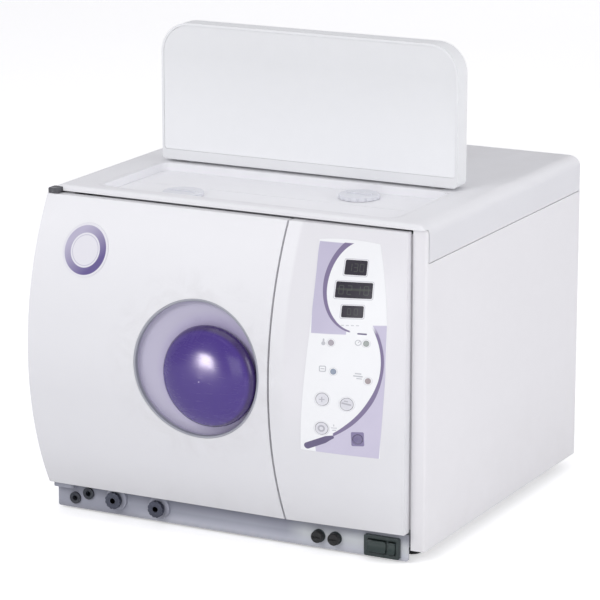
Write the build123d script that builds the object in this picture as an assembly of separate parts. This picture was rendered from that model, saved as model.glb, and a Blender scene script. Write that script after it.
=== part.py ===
from build123d import *
import math
import os

# Benchtop steam autoclave with a bowed front door and a standing lid, as separate pieces.
#
# Output frame: +X to the right seen from the front, +Y to the back, +Z up. The origin is
# the bottom centre of the bounding box, on the bench under the feet. Millimetres.
#
# Design frame, used below: X runs 0..WIDTH from the left side, Y is 0 at the front of the
# sheet metal case and Z is 0 on the bench. put() moves each piece to the output frame.

# ------------------------------------------------------------- shared dimensions
WIDTH = 500.0           # case width over the side panels
DEPTH = 455.0           # case depth, front return to back panel
TOP_Z = 409.0           # top of the fixed cover
CASE_Z = 16.0           # underside of the side panels
SEAM_Z = 363.0          # underside of the top cover's skirt
SHEET = 1.5             # sheet metal thickness
WALL = 3.0              # moulded wall thickness
REAR_Y = DEPTH - 2.2    # rear face of the side panels
Y_SHIFT = -190.25       # puts the bounding box centre on Y = 0

# Bowed front: a circular profile in the YZ plane, through three (y, z) points
FRONT_TOP = (-14.0, 399.5)
FRONT_MID = (-66.0, 216.0)      # most forward line
FRONT_LOW = (-22.0, 38.0)
DOOR_X0, DOOR_X1 = 0.5, 327.0
DOOR_BACK = -2.0                # rear plane of the door
FASCIA_X0, FASCIA_X1 = 329.5, 480.0
FASCIA_FADE = 2.2               # how fast the bow fades towards the right edge
RIGHT_TOP_Y, RIGHT_LOW_Y = -8.0, -14.0    # fascia's right edge at top and bottom
RIGHT_SAG = 2.5                 # bow left at the fascia's right edge
LOFT_STEPS = 7
CLEAR_Y = -90.0                 # ahead of the whole front, where cutters start

HINGE_X, HINGE_Y = 7.5, -10.5   # vertical door hinge axis
HINGE_PIN_R = 2.2
KNOB_X, KNOB_Z = 250.0, 214.0   # door knob axis, along Y
SPINDLE_R = 6.0

# Two lock bolts, along X
BOLT_Z = (150.0, 274.0)
BOLT_Y = -26.0
BOLT_R = 6.0

CH_X, CH_Z = 172.0, 206.0       # chamber axis, along Y
CH_R = 115.0                    # chamber inner radius
CH_Y1 = 392.0                   # end of the straight shell

# Recess in the top cover
REC_X0, REC_X1, REC_Y0, REC_Y1 = 55.0, 451.0, 13.5, 174.0
REC_R = 16.0

# Fittings: (x, z) of axes along Y
DRAINS = [(86.0, 23.0), (146.0, 21.0)]
SMALL_PORTS = [(27.0, 16.0), (46.0, 24.0)]
FUSES = [(364.0, 18.0), (386.0, 18.0)]
FAN = (390.0, 270.0)
FILTER = (70.0, 100.0)
SAFETY = (250.0, 318.0)
EXHAUSTS = [(330.0, 70.0), (370.0, 70.0)]
BACK_SCREWS = [(12, 40), (12, 190), (12, 340), (488, 40), (488, 190), (488, 340),
               (250, 28), (250, 350)]

# Rectangular fittings: x0, x1, z0, z1
SWITCH = (425.0, 471.0, 4.5, 30.5)
MAINS = (430.0, 470.0, 60.0, 90.0)

# Vertical axes: (x, y)
FOOT_XY = [(36, 42), (464, 42), (36, 420), (464, 420)]
CAPS = {"cap_used": (150.0, 54.0), "cap_clean": (345.0, 137.0)}

os.makedirs("parts", exist_ok=True)


# ----------------------------------------------------------------------- helpers
def box(x0, x1, y0, y1, z0, z1):
    centre = Pos((x0 + x1) / 2, (y0 + y1) / 2, (z0 + z1) / 2)
    return centre * Box(x1 - x0, y1 - y0, z1 - z0)


def rounded_box(x0, x1, y0, y1, z0, z1, radius, axis=Axis.Z):
    """Box with the four edges along axis rounded."""
    body = box(x0, x1, y0, y1, z0, z1)
    return fillet(body.edges().filter_by(axis), radius)


def cyl_x(y, z, radius, x0, x1):
    return Pos((x0 + x1) / 2, y, z) * Rot(0, 90, 0) * Cylinder(radius, x1 - x0)


def cyl_y(x, z, radius, y0, y1):
    return Pos(x, (y0 + y1) / 2, z) * Rot(90, 0, 0) * Cylinder(radius, y1 - y0)


def cyl_z(x, y, radius, z0, z1):
    return Pos(x, y, (z0 + z1) / 2) * Cylinder(radius, z1 - z0)


def ring_y(x, z, inner_r, outer_r, y0, y1):
    return cyl_y(x, z, outer_r, y0, y1) - cyl_y(x, z, inner_r, y0 - 1, y1 + 1)


def revolve_y(outline, x, z):
    """Turns a closed outline of edges in (radius, y) about an axis along Y through (x, z)."""
    return Pos(x, 0, z) * revolve(make_face(outline), Axis.Y, 360)


def hexagon_y(x, z, radius, y0, length):
    plane = Plane(origin=(x, y0, z), z_dir=(0, 1, 0))
    return extrude(plane * RegularPolygon(radius, 6), amount=length)


def front_plane(y, x=0, z=0):
    """Plane facing the front, with its own axes along X and Z."""
    return Plane(origin=(x, y, z), x_dir=(1, 0, 0), z_dir=(0, -1, 0))


def around(across, up, radius, count, start=0):
    """Points evenly spaced on a circle; start is the first angle in degrees."""
    angles = [math.radians(start + k * 360 / count) for k in range(count)]
    return [(across + radius * math.cos(a), up + radius * math.sin(a)) for a in angles]


def drill_y(part, places, radius, y0, y1):
    for x, z in places:
        part -= cyl_y(x, z, radius, y0, y1)
    return part


def add_boxes(part, table):
    for limits in table:
        part += box(*limits)
    return part


def round_rim(part, radius, end, axis=Axis.Y):
    """Rounds the first (end=0) or last (end=-1) circular edge along axis."""
    return fillet(part.edges().filter_by(GeomType.CIRCLE).sort_by(axis)[end], radius)


def put(name, *shapes):
    """Writes one node. Every solid of every shape becomes a solid of the node."""
    solids = [solid for shape in shapes for solid in shape.solids()]
    moved = [Pos(-WIDTH / 2, Y_SHIFT, 0) * solid for solid in solids]
    node = moved[0] if len(moved) == 1 else Compound(children=moved)
    export_step(node, f"parts/{name}.step")


# ----------------------------------------------------------------- bowed surface
def circle_through(first, middle, last):
    """Centre y, centre z and radius of the circle through three (y, z) points."""
    (y1, z1), (y2, z2), (y3, z3) = first, middle, last
    sq1 = y1**2 + z1**2
    sq2 = y2**2 + z2**2
    sq3 = y3**2 + z3**2
    det = 2 * (y1 * (z2 - z3) + y2 * (z3 - z1) + y3 * (z1 - z2))
    yc = (sq1 * (z2 - z3) + sq2 * (z3 - z1) + sq3 * (z1 - z2)) / det
    zc = (sq1 * (y3 - y2) + sq2 * (y1 - y3) + sq3 * (y2 - y1)) / det
    return yc, zc, math.hypot(y1 - yc, z1 - zc)


def front_circle(x):
    """Circle of the front profile at x: constant over the door, fading over the fascia."""
    if x <= FASCIA_X0:
        return circle_through(FRONT_TOP, FRONT_MID, FRONT_LOW)
    across = min(1.0, (x - FASCIA_X0) / (FASCIA_X1 - FASCIA_X0))
    bow = 1 - across**FASCIA_FADE
    top_y, top_z = FRONT_TOP
    mid_y, mid_z = FRONT_MID
    low_y, low_z = FRONT_LOW
    y_top = top_y + (RIGHT_TOP_Y - top_y) * across
    y_low = low_y + (RIGHT_LOW_Y - low_y) * across
    height = (mid_z - low_z) / (top_z - low_z)
    chord = y_low + (y_top - y_low) * height
    door_chord = low_y + (top_y - low_y) * height
    sag = (door_chord - mid_y) * bow + RIGHT_SAG * (1 - bow)
    return circle_through((y_top, top_z), (chord - sag, mid_z), (y_low, low_z))


def front_y(x, z, inset=0.0):
    """Y of the front surface at (x, z), inset mm behind it."""
    yc, zc, radius = front_circle(x)
    return yc - math.sqrt((radius - inset) ** 2 - (z - zc) ** 2)


def front_section(x, inset, z0, z1, back):
    """Face in the plane X = x: the front arc, inset mm behind the surface, and a flat back."""
    z_mid = (z0 + z1) / 2
    top = (x, front_y(x, z1, inset), z1)
    middle = (x, front_y(x, z_mid, inset), z_mid)
    low = (x, front_y(x, z0, inset), z0)
    back_low = (x, back, z0)
    back_top = (x, back, z1)
    return make_face(Curve() + [
        ThreePointArc(top, middle, low),
        Line(low, back_low),
        Line(back_low, back_top),
        Line(back_top, top),
    ])


def front_solid(x0, x1, inset, z0, z1, back):
    """Solid between the front surface, inset mm behind it, and the plane Y = back."""
    if x1 <= FASCIA_X0:
        return extrude(front_section(x0, inset, z0, z1, back), amount=x1 - x0, dir=(1, 0, 0))
    stations = [x0 + (x1 - x0) * i / LOFT_STEPS for i in range(LOFT_STEPS + 1)]
    return loft([front_section(x, inset, z0, z1, back) for x in stations])


def front_skin(x0, x1, z0, z1, near, far, back, cut_back):
    """Layer from near to far mm behind the front surface."""
    return (front_solid(x0, x1, near, z0, z1, back)
            - front_solid(x0 - 1, x1 + 1, far, z0 - 1, z1 + 1, cut_back))


def front_moulding(x0, x1, back, cut_back):
    """Full-height hollow moulding behind the front surface, open at the back."""
    z0, z1 = FRONT_LOW[1], FRONT_TOP[1]
    outer = front_solid(x0, x1, 0, z0, z1, back)
    return outer - front_solid(x0 + WALL, x1 - WALL, WALL, z0 + WALL, z1 - WALL, cut_back)


def front_normal(x, z):
    step = 0.05
    slope_x = (front_y(min(x + step, FASCIA_X1), z) - front_y(x - step, z)) / (2 * step)
    slope_z = (front_y(x, z + step) - front_y(x, z - step)) / (2 * step)
    return Vector(slope_x, -1.0, slope_z).normalized()


def normal_cylinder(x, z, radius, proud, sunk):
    """Cylinder on the surface normal, from proud mm outside to sunk mm inside."""
    normal = front_normal(x, z)
    centre = Vector(x, front_y(x, z), z) + normal * ((proud - sunk) / 2)
    return Plane(origin=centre, z_dir=normal) * Cylinder(radius, proud + sunk)


# ------------------------------------------------------------------- case pieces
PAN_GAP = 2.2                   # pan to the outside of the case, each side
CHAMBER_BOLTS = around(CH_X, CH_Z, 143.5, 8, start=22)
BULK_Y0, BULK_Y1 = 2.0, 4.0     # bulkhead behind the door


def chassis():
    """Base pan with slots and foot holes, and two saddles under the chamber."""
    x0, x1 = PAN_GAP, WIDTH - PAN_GAP
    y0, y1 = 6, DEPTH - 4.5
    floor_z = CASE_Z + 2 * SHEET
    pan = box(x0, x1, y0, y1, CASE_Z + SHEET + 0.1, 40)
    pan -= box(x0 + SHEET, x1 - SHEET, y0 + SHEET, y1 - SHEET, floor_z, 60)
    for i in range(8):
        slot_x = 60 + i * 14
        pan -= rounded_box(slot_x, slot_x + 6, 300, 400, CASE_Z - 2, CASE_Z + 6, 2.9)
    for x, y in FOOT_XY:
        pan -= cyl_z(x, y, 3.2, CASE_Z - 1, CASE_Z + 6)
    saddles = [
        box(60, 284, y, y + 6, floor_z - 0.1, 130) - cyl_y(CH_X, CH_Z, 136.3, y - 1, y + 7)
        for y in (60, 340)
    ]
    put("chassis", pan + saddles[0] + saddles[1])


def side_panel(return_width, top_z, rounded):
    """Right-hand sheet: flat side, front and rear returns, flange along the bottom."""
    corner_r = 4.0
    side_top = SEAM_Z - 0.8
    panel = box(WIDTH - SHEET, WIDTH, 0, REAR_Y, CASE_Z, side_top)
    panel += box(WIDTH - return_width, WIDTH, 0, SHEET, CASE_Z, top_z)
    panel += box(WIDTH - 15, WIDTH, REAR_Y - SHEET, REAR_Y, CASE_Z, side_top)
    panel += box(WIDTH - 12, WIDTH, 0, REAR_Y, CASE_Z, CASE_Z + SHEET)
    panel += box(WIDTH - corner_r, WIDTH, 0, corner_r, SEAM_Z - 2, top_z)
    # square front corner swapped for a quarter tube
    corner = box(WIDTH - corner_r, WIDTH + 1, -1, corner_r, CASE_Z - 1, top_z + 1)
    axis = (WIDTH - corner_r, corner_r)
    tube = cyl_z(*axis, corner_r, CASE_Z, top_z)
    tube -= cyl_z(*axis, corner_r - SHEET, CASE_Z - 1, top_z + 1)
    panel = (panel - corner) + (tube & corner)
    if rounded:
        round_r = 14
        tip = box(WIDTH - round_r, WIDTH + 1, -1, 6, 395, 403)
        panel -= tip - cyl_y(WIDTH - round_r, 395, round_r, -2, 7)
    return panel


def side_panels():
    put("side_panel_right", side_panel(return_width=18, top_z=401.5, rounded=True))
    left = side_panel(return_width=14, top_z=398, rounded=False)
    put("side_panel_left", mirror(left, Plane.YZ.offset(WIDTH / 2)))


def back_panel():
    fan_x, fan_z = FAN
    grille_r = 36
    through = (DEPTH - 4, DEPTH + 1)
    back = box(1.5, 498.5, DEPTH - 2, DEPTH - 0.5, CASE_Z + 2, SEAM_Z - 1)
    back = fillet(back.edges().filter_by(Axis.Y), 3)
    # upright slots filling a circle in front of the fan
    for dx in range(-32, 33, 8):
        half = math.sqrt(grille_r**2 - dx**2)
        x = fan_x + dx
        back -= rounded_box(x - 2, x + 2, *through, fan_z - half, fan_z + half, 1.9, Axis.Y)
    for i in range(12):
        x = 60 + i * 12
        back -= rounded_box(x, x + 5, *through, 180, 250, 2.4, Axis.Y)
    x0, x1, z0, z1 = MAINS
    gap = 0.3
    back -= rounded_box(x0 - gap, x1 + gap, *through, z0 - gap, z1 + gap, 3, Axis.Y)
    back -= cyl_y(*FILTER, 12.4, *through)
    back -= cyl_y(*SAFETY, 12, *through)
    back = drill_y(back, EXHAUSTS, 7.2, *through)
    put("back_panel", drill_y(back, BACK_SCREWS, 2.1, *through))


def front_bulkhead():
    """Bulkhead between the door and the inside, with the keep for the lock bolts."""
    through = (BULK_Y0 - 1, BULK_Y1 + 1)
    bulk = box(16, 484, BULK_Y0, BULK_Y1, 41, 396)
    bulk += box(16, 29, BULK_Y0, BULK_Y1, 396, 399.8)
    bulk -= cyl_y(CH_X, CH_Z, 137, *through)
    bulk = drill_y(bulk, CHAMBER_BOLTS, 3.2, *through)
    bulk -= rounded_box(400, 430, *through, 90, 130, 4, Axis.Y)
    keep = box(334, 338, -40, BULK_Y0, 136, 288) + box(334, 356, -1.1, BULK_Y0, 136, 288)
    for bolt_z in BOLT_Z:
        keep -= cyl_x(BOLT_Y, bolt_z, BOLT_R + 0.7, 330, 340)
    put("front_bulkhead", bulk + keep)


def screws():
    """Back panel screw heads and the socket-headed bolts round the chamber."""
    heads = []
    for x, z in BACK_SCREWS:
        head = round_rim(cyl_y(x, z, 3.8, DEPTH - 0.45, DEPTH + 1.6), 1.2, -1)
        heads.append(head - cyl_y(x, z, 1.5, DEPTH + 0.6, DEPTH + 3))
    head_y, seat_y = -1.1, 1.95
    bolts = []
    for x, z in CHAMBER_BOLTS:
        bolt = cyl_y(x, z, 4.8, head_y, seat_y) + cyl_y(x, z, 3.0, seat_y, 11)
        bolts.append(bolt - hexagon_y(x, z, 2.6, head_y, 1.8))
    put("screws", *heads, *bolts)


def front_plinth():
    """Strip across the front of the base, cut out for its fittings."""
    through = (-6, 1)
    plinth = box(2, 480.5, -4, -0.4, 3, 36)
    plinth = fillet(plinth.edges().filter_by(Axis.Y), 2.5)
    plinth -= box(1, 31, -5, 1, 31, 37)      # clears the lower door hinge
    plinth = drill_y(plinth, DRAINS, 11.2, *through)
    plinth = drill_y(plinth, SMALL_PORTS, 5.2, *through)
    plinth = drill_y(plinth, FUSES, 6.2, *through)
    x0, x1, z0, z1 = SWITCH
    put("front_plinth", plinth - box(x0 + 3, x1 - 3, *through, z0 + 3, z1 - 3))


def feet():
    pads = []
    for x, y in FOOT_XY:
        pad = round_rim(cyl_z(x, y, 13, 0, CASE_Z - 0.05), 2, 0, Axis.Z)
        pads.append(pad + cyl_z(x, y, 3.0, CASE_Z - 1, 26))
    put("feet", *pads)


def recess_box(inset, z0, z1):
    """Block on the recess outline, inset all round."""
    return rounded_box(REC_X0 + inset, REC_X1 - inset, REC_Y0 + inset, REC_Y1 - inset,
                       z0, z1, REC_R - inset)


def top_cover():
    outer = box(0, WIDTH, -4, DEPTH + 2, SEAM_Z, TOP_Z)
    rear = outer.edges().filter_by(Axis.Z).filter_by_position(Axis.Y, DEPTH, DEPTH + 3)
    outer = fillet(rear, 6)
    sides = outer.edges().filter_by(Axis.Y).filter_by_position(Axis.Z, TOP_Z - 1, TOP_Z + 1)
    outer = fillet(sides, 14)
    top = outer.edges().filter_by_position(Axis.Z, TOP_Z - 0.01, TOP_Z + 0.01)
    outer = fillet(top.filter_by(Axis.X), 4.5)
    inner = box(2, WIDTH - 2, -2, DEPTH - 1, SEAM_Z - 1, TOP_Z - 2)
    rear = inner.edges().filter_by(Axis.Z).filter_by_position(Axis.Y, DEPTH - 2, DEPTH)
    inner = fillet(rear, 4)
    sides = inner.edges().filter_by(Axis.Y).filter_by_position(Axis.Z, TOP_Z - 3, TOP_Z - 1)
    inner = fillet(sides, 12)
    cover = outer - inner
    cover -= box(-1, WIDTH + 1, -6, 5.4, SEAM_Z - 2, 401.9)    # opening above the door
    cover -= box(-1, 16.2, -6, 3.2, 399, 406.6)                # notch for the hinge cap
    put("top_cover", cover - recess_box(0, 400, 411))


def recess_tray():
    """Tray under the lid, with a flange and openings for the two caps."""
    tray = recess_box(0.3, 396, 408.8) - recess_box(2.5, 398.4, 410)
    flange = rounded_box(REC_X0 - 8, REC_X1 + 8, REC_Y0 - 5.5, REC_Y1 + 6, 404.8, 406.9, 18)
    tray += flange - recess_box(1, 404, 408)
    for x, y in CAPS.values():
        tray -= cyl_z(x, y, 21, 395, 399)
    put("recess_tray", tray - box(REC_X0 + 3, REC_X1 - 3, 97.2, 98.4, 397.6, 399))


def tank(y0, y1, neck):
    """Hollow reservoir with an open neck at neck = (x, y)."""
    x0, x1, z0, z1 = 42, 458, 352, 393
    wall, radius = 2.5, 10
    body = rounded_box(x0, x1, y0, y1, z0, z1, radius)
    body -= rounded_box(x0 + wall, x1 - wall, y0 + wall, y1 - wall, z0 + wall, z1 - wall,
                        radius - wall)
    body += cyl_z(*neck, 19, z1 - 1, 401.2)
    return body - cyl_z(*neck, 16, 389, 404)


def reservoirs():
    put("reservoirs", tank(20, 94, CAPS["cap_used"]), tank(98, 436, CAPS["cap_clean"]))


def reservoir_caps():
    """Fluted caps with a grip bar across the top."""
    for name, (x, y) in CAPS.items():
        cap = cyl_z(x, y, 25, 398.9, 403.8) - cyl_z(x, y, 19.08, 398, 401.6)
        rims = cap.edges().filter_by(GeomType.CIRCLE)
        cap = fillet(rims.filter_by_position(Axis.Z, 403.7, 403.9), 1.2)
        cap += rounded_box(x - 17, x + 17, y - 2.6, y + 2.6, 403.2, 405.4, 2.5)
        for flute_x, flute_y in around(x, y, 26.2, 16):
            cap -= cyl_z(flute_x, flute_y, 2.2, 398, 402.6)
        put(name, cap)


# ---------------------------------------------------------------- chamber pieces
TRAYS = {"tray_lower": -50.0, "tray_middle": -14.0, "tray_upper": 22.0}   # z above the axis


def chamber_vessel():
    """Thin shell with a domed rear end, a front flange and the gasket groove."""
    inner_r, outer_r = CH_R, CH_R + 1.6
    front, flange_r, neck_r = 4.2, 150, 132
    corners = [(inner_r, front), (flange_r, front), (flange_r, 14), (neck_r, 18.5),
               (outer_r, 18.5), (outer_r, CH_Y1)]
    outer_tip = (0, CH_Y1 + 32)
    inner_tip = (0, CH_Y1 + 30.4)
    outline = [Line(start, end) for start, end in zip(corners, corners[1:])]
    outline += [
        ThreePointArc((outer_r, CH_Y1), (outer_r * 0.62, CH_Y1 + 23.0), outer_tip),
        Line(outer_tip, inner_tip),
        ThreePointArc(inner_tip, (inner_r * 0.62, CH_Y1 + 21.8), (inner_r, CH_Y1)),
        Line((inner_r, CH_Y1), (inner_r, front)),
    ]
    vessel = revolve_y(Curve() + outline, CH_X, CH_Z)
    vessel -= ring_y(CH_X, CH_Z, 117.6, 128.4, 3, 12.2)
    vessel = drill_y(vessel, CHAMBER_BOLTS, 3.1, 3, 12.5)
    put("chamber_vessel", vessel - cyl_y(CH_X, CH_Z - 60, 5, 400, 440))


def chamber_rings():
    gasket = ring_y(CH_X, CH_Z, 118, 128, 2.0, 12)
    put("door_gasket", gasket - ring_y(CH_X, CH_Z, 121.8, 124.2, 1, 5))
    put("insulation", ring_y(CH_X, CH_Z, 116.9, 136, 24, 388))


def tray_rack():
    """Slotted base, two sides with tray rails and holes, and a stop across the rear."""
    y0, y1 = 30, 370
    side_x = 84.5               # mid-plane of each side from the chamber axis
    half = SHEET / 2
    base_z = CH_Z - 62
    floor_z = base_z + SHEET
    base = box(CH_X - 86, CH_X + 86, y0, y1, base_z, floor_z)
    for k in range(6):
        y = 55 + k * 52
        base -= rounded_box(CH_X - 60, CH_X + 60, y, y + 30, CH_Z - 63, CH_Z - 59, 8)
    sides = []
    for sign in (-1, 1):
        middle = CH_X + sign * side_x
        rail_x0, rail_x1 = sorted((CH_X + sign * 78, middle))
        side = box(middle - half, middle + half, y0, y1, floor_z, CH_Z + 30)
        for level in TRAYS.values():
            side += box(rail_x0, rail_x1, y0, y1, CH_Z + level - 1.7, CH_Z + level - 0.3)
        for k in range(5):
            side -= Pos(middle, 70 + k * 65, CH_Z - 33) * Rot(0, 90, 0) * Cylinder(9, 6)
        sides.append(side)
    inside = side_x - half
    stop = box(CH_X - inside, CH_X + inside, y1 - 4, y1, floor_z, CH_Z - 50)
    put("tray_rack", base, *sides, stop)


def trays():
    """Perforated trays with a small lip at the front."""
    half, y0, y1 = 81, 34, 364
    for name, level in TRAYS.items():
        z = CH_Z + level
        tray = rounded_box(CH_X - half, CH_X + half, y0, y1, z, z + 15, 8)
        tray -= rounded_box(CH_X - half + 1, CH_X + half - 1, y0 + 1, y1 - 1, z + 1, z + 16, 7)
        for i in range(-3, 4):
            for k in range(8):
                x = CH_X + i * 20
                y = 52 + k * 38
                tray -= rounded_box(x - 6, x + 6, y, y + 6, z - 1, z + 2, 2.9)
        put(name, tray + box(CH_X - 18, CH_X + 18, 31.5, 34.5, z + 12, z + 15))


# ------------------------------------------------------------------- door pieces
DISH_X, DISH_Z, DISH_R = 232.0, 219.0, 84.0
KNOB_R = 61.5
PLATE_Y0, PLATE_Y1 = -4.8, -2.3     # flat plate closing the door
MOUNT_Y = PLATE_Y0 - 0.15           # rear of the parts that sit on the plate
GEAR_MODULE, GEAR_TEETH = 2.0, 14
PRESSURE_ANGLE = math.radians(25.0)
PITCH_R = GEAR_MODULE * GEAR_TEETH / 2
CARRIAGE_Y0, CARRIAGE_Y1 = BOLT_Y - 4, BOLT_Y + 4


def hinge_corner(x0, z0, z1, radius):
    """Cutter for the rear left corner, leaving it round about the hinge axis."""
    corner = box(x0, HINGE_X, HINGE_Y, 0, z0, z1)
    return corner - cyl_z(HINGE_X, HINGE_Y, radius, z0 - 1, z1 + 1)


def door_cover():
    cover = front_moulding(DOOR_X0, DOOR_X1, DOOR_BACK, DOOR_BACK + 5)
    cover -= cyl_y(DISH_X, DISH_Z, DISH_R + 0.15, CLEAR_Y, -20)
    cover -= hinge_corner(-1, 0, 420, 9.8)
    cover -= cyl_z(HINGE_X, HINGE_Y, 2.6, 396, 401)
    cover -= cyl_z(HINGE_X, HINGE_Y, 2.6, 37, 42)
    for bolt_z in BOLT_Z:
        cover -= cyl_x(BOLT_Y, bolt_z, BOLT_R + 0.5, DOOR_X1 - 6, DOOR_X1 + 2)
    put("door_cover", cover)


def knob_dish():
    """Dish around the knob: a rim wall and a floor that follows the bow."""
    span = (DISH_X - 95, DISH_X + 95, DISH_Z - 95, DISH_Z + 95)
    dish = front_skin(*span, 0.3, 12, -10, -9) & cyl_y(DISH_X, DISH_Z, DISH_R, CLEAR_Y, -12)
    hollow = front_skin(*span, -3, 9.2, -10, -9)
    dish -= hollow & cyl_y(DISH_X, DISH_Z, DISH_R - 2.6, CLEAR_Y, -12)
    put("knob_dish", dish - cyl_y(KNOB_X, KNOB_Z, 7.5, CLEAR_Y, -20))


def door_plates():
    """Flat plate, and the round pressure plate with its hexagonal nut."""
    plate = box(12, 323.6, PLATE_Y0, PLATE_Y1, 41.4, 396.2)
    put("door_plate", plate - cyl_y(CH_X, CH_Z, 8.4, -6, 0))
    # (radius, y): stud, disc and raised centre
    points = [(0, -16), (8, -16), (8, -1.9), (131, -1.9), (131, 1.7), (107, 1.7),
              (101, 4.6), (70, 6.2), (0, 6.2)]
    disc = revolve_y(Polyline(*points, close=True), CH_X, CH_Z)
    nut = hexagon_y(CH_X, CH_Z, 14, -13, 7.9) - cyl_y(CH_X, CH_Z, 8.06, -20, 0)
    put("pressure_plate", disc, nut)


def hinge_blocks():
    blocks = []
    for z0 in (374, 47):
        z1 = z0 + 15
        block = box(3.8, 26, -15.4, MOUNT_Y, z0, z1)
        block -= hinge_corner(3, z0 - 1, z1 + 1, 3.8)
        blocks.append(block - cyl_z(HINGE_X, HINGE_Y, HINGE_PIN_R + 0.05, z0 - 1, z1 + 1))
    put("hinge_blocks", *blocks)


def spindle_bearings():
    bore = SPINDLE_R + 0.06
    bush = cyl_y(KNOB_X, KNOB_Z, 12, -50, -34) + cyl_y(KNOB_X, KNOB_Z, 20, -53.0, -50)
    bush -= cyl_y(KNOB_X, KNOB_Z, bore, -60, -30)
    rear = cyl_y(KNOB_X, KNOB_Z, 15, -14, MOUNT_Y) - cyl_y(KNOB_X, KNOB_Z, bore, -20, -7)
    put("spindle_bearings", bush, rear)


def bolt_guides():
    """Bridge that holds the front bush, and two guide blocks for each bolt."""
    left, right = KNOB_X - 34, KNOB_X + 30
    low = KNOB_Z - 30
    mount = box(left, left + 12, -52, MOUNT_Y, low, low + 16)
    mount += box(right - 12, right, -52, MOUNT_Y, low, low + 16)
    mount += box(left, right, -40, -34, low, KNOB_Z + 8)
    mount -= cyl_y(KNOB_X, KNOB_Z, 12.05, -60, -20) + box(0, 500, -60, -49.6, 0, 500)
    guides = []
    for bolt_z in BOLT_Z:
        for x0, x1 in ((258, 270), (318.3, 323.7)):
            guide = box(x0, x1, -35, MOUNT_Y, bolt_z - 10, bolt_z + 10)
            guides.append(guide - cyl_x(BOLT_Y, bolt_z, BOLT_R + 0.06, x0 - 1, x1 + 1))
    put("bolt_guides", mount, *guides)


def door_badge():
    skin = front_skin(20, 120, 300, 384, -0.9, -0.05, -20, -19)
    put("door_badge", skin & cyl_y(70, 342, 31, CLEAR_Y, 0))


def knob():
    """Hollow domed knob with a central boss."""
    tip_y, rim_y, boss_y = -90, -59.4, -60.2
    boss_r = 14
    outside = (KNOB_R, -63.5)
    rim_outer = (KNOB_R - 0.8, rim_y)
    rim_inner = (KNOB_R - 4, rim_y)
    inside = (KNOB_R - 4.4, -64.5)
    boss_root = (boss_r, -85.3)
    outline = [
        Line((0, tip_y), (4, -89.95)),
        Spline((4, -89.95), (KNOB_R * 0.484, -87.2), (KNOB_R * 0.806, -79.5),
               (KNOB_R - 2.5, -70.5), outside),
        Line(outside, rim_outer),
        Line(rim_outer, rim_inner),
        Line(rim_inner, inside),
        Spline(inside, (KNOB_R * 0.758, -76.5), (KNOB_R * 0.484, -83.2), boss_root),
        Line(boss_root, (boss_r, boss_y)),
        Line((boss_r, boss_y), (0, boss_y)),
        Line((0, boss_y), (0, tip_y)),
    ]
    body = revolve_y(Curve() + outline, KNOB_X, KNOB_Z)
    put("knob", body - cyl_y(KNOB_X, KNOB_Z, SPINDLE_R + 0.03, -74, -50))


def pinion_outline(tip_r, root_r, backlash):
    """Points of an involute pinion with a gap centred on local +Y."""
    def involute(angle):
        return math.tan(angle) - angle

    steps = 6
    base_r = PITCH_R * math.cos(PRESSURE_ANGLE)
    start_r = max(base_r, root_r + 0.4)
    half_tooth = (math.pi * GEAR_MODULE / 2 - backlash) / (2 * PITCH_R)
    flank = []                  # (radius, half angle of the tooth)
    for i in range(steps + 1):
        radius = start_r + (tip_r - start_r) * i / steps
        angle = math.acos(min(1, base_r / radius))
        flank.append((radius, half_tooth + involute(PRESSURE_ANGLE) - involute(angle)))
    root_half = flank[0][1] * 1.02
    points = []
    for k in range(GEAR_TEETH):
        centre = math.pi / 2 + (k + 0.5) * 2 * math.pi / GEAR_TEETH
        tooth = [(root_r, centre - root_half)]
        tooth += [(radius, centre - half) for radius, half in flank]
        tooth += [(radius, centre + half) for radius, half in reversed(flank)]
        tooth += [(root_r, centre + root_half)]
        points += [(radius * math.cos(a), radius * math.sin(a)) for radius, a in tooth]
    return points


def knob_spindle():
    points = pinion_outline(tip_r=15.7, root_r=11.4, backlash=0.35)
    face = make_face(Polyline(*points, close=True))
    pinion = extrude(front_plane(CARRIAGE_Y0 - 1, KNOB_X, KNOB_Z) * face, amount=-9)
    put("knob_spindle", cyl_y(KNOB_X, KNOB_Z, SPINDLE_R, -73.5, -7.6) + pinion)


def bolt_carriage():
    """Toothed rack above the pinion, and an upright bar with a boss for each bolt."""
    pitch_z = KNOB_Z + PITCH_R
    pitch = math.pi * GEAR_MODULE
    slope = math.tan(PRESSURE_ANGLE)
    root_half = pitch / 4 - 0.1 + 2.5 * slope
    tip_half = pitch / 4 - 0.1 - 1.8 * slope
    root_z, tip_z = pitch_z + 2.6, pitch_z - 1.8
    bar = box(212, 300, CARRIAGE_Y0, CARRIAGE_Y1, pitch_z + 2.5, pitch_z + 14)
    for k in range(-4, 3):
        x = KNOB_X + k * pitch
        tooth = make_face(Polyline(
            (x - root_half, root_z, 0), (x + root_half, root_z, 0),
            (x + tip_half, tip_z, 0), (x - tip_half, tip_z, 0), close=True))
        bar += extrude(front_plane(CARRIAGE_Y1) * tooth, amount=CARRIAGE_Y1 - CARRIAGE_Y0)
    bar += box(286, 300, CARRIAGE_Y0, CARRIAGE_Y1, BOLT_Z[0] - 11, BOLT_Z[1] + 11)
    for bolt_z in BOLT_Z:
        bar += cyl_x(BOLT_Y, bolt_z, 10, 284, 300.6)
        bar -= cyl_x(BOLT_Y, bolt_z, BOLT_R + 0.02, 280, 305)
    put("bolt_carriage", bar)


def lock_bolts():
    put("lock_bolts", *[round_rim(cyl_x(BOLT_Y, z, BOLT_R, 248, 326.4), 1.5, -1, Axis.X)
                        for z in BOLT_Z])


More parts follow.
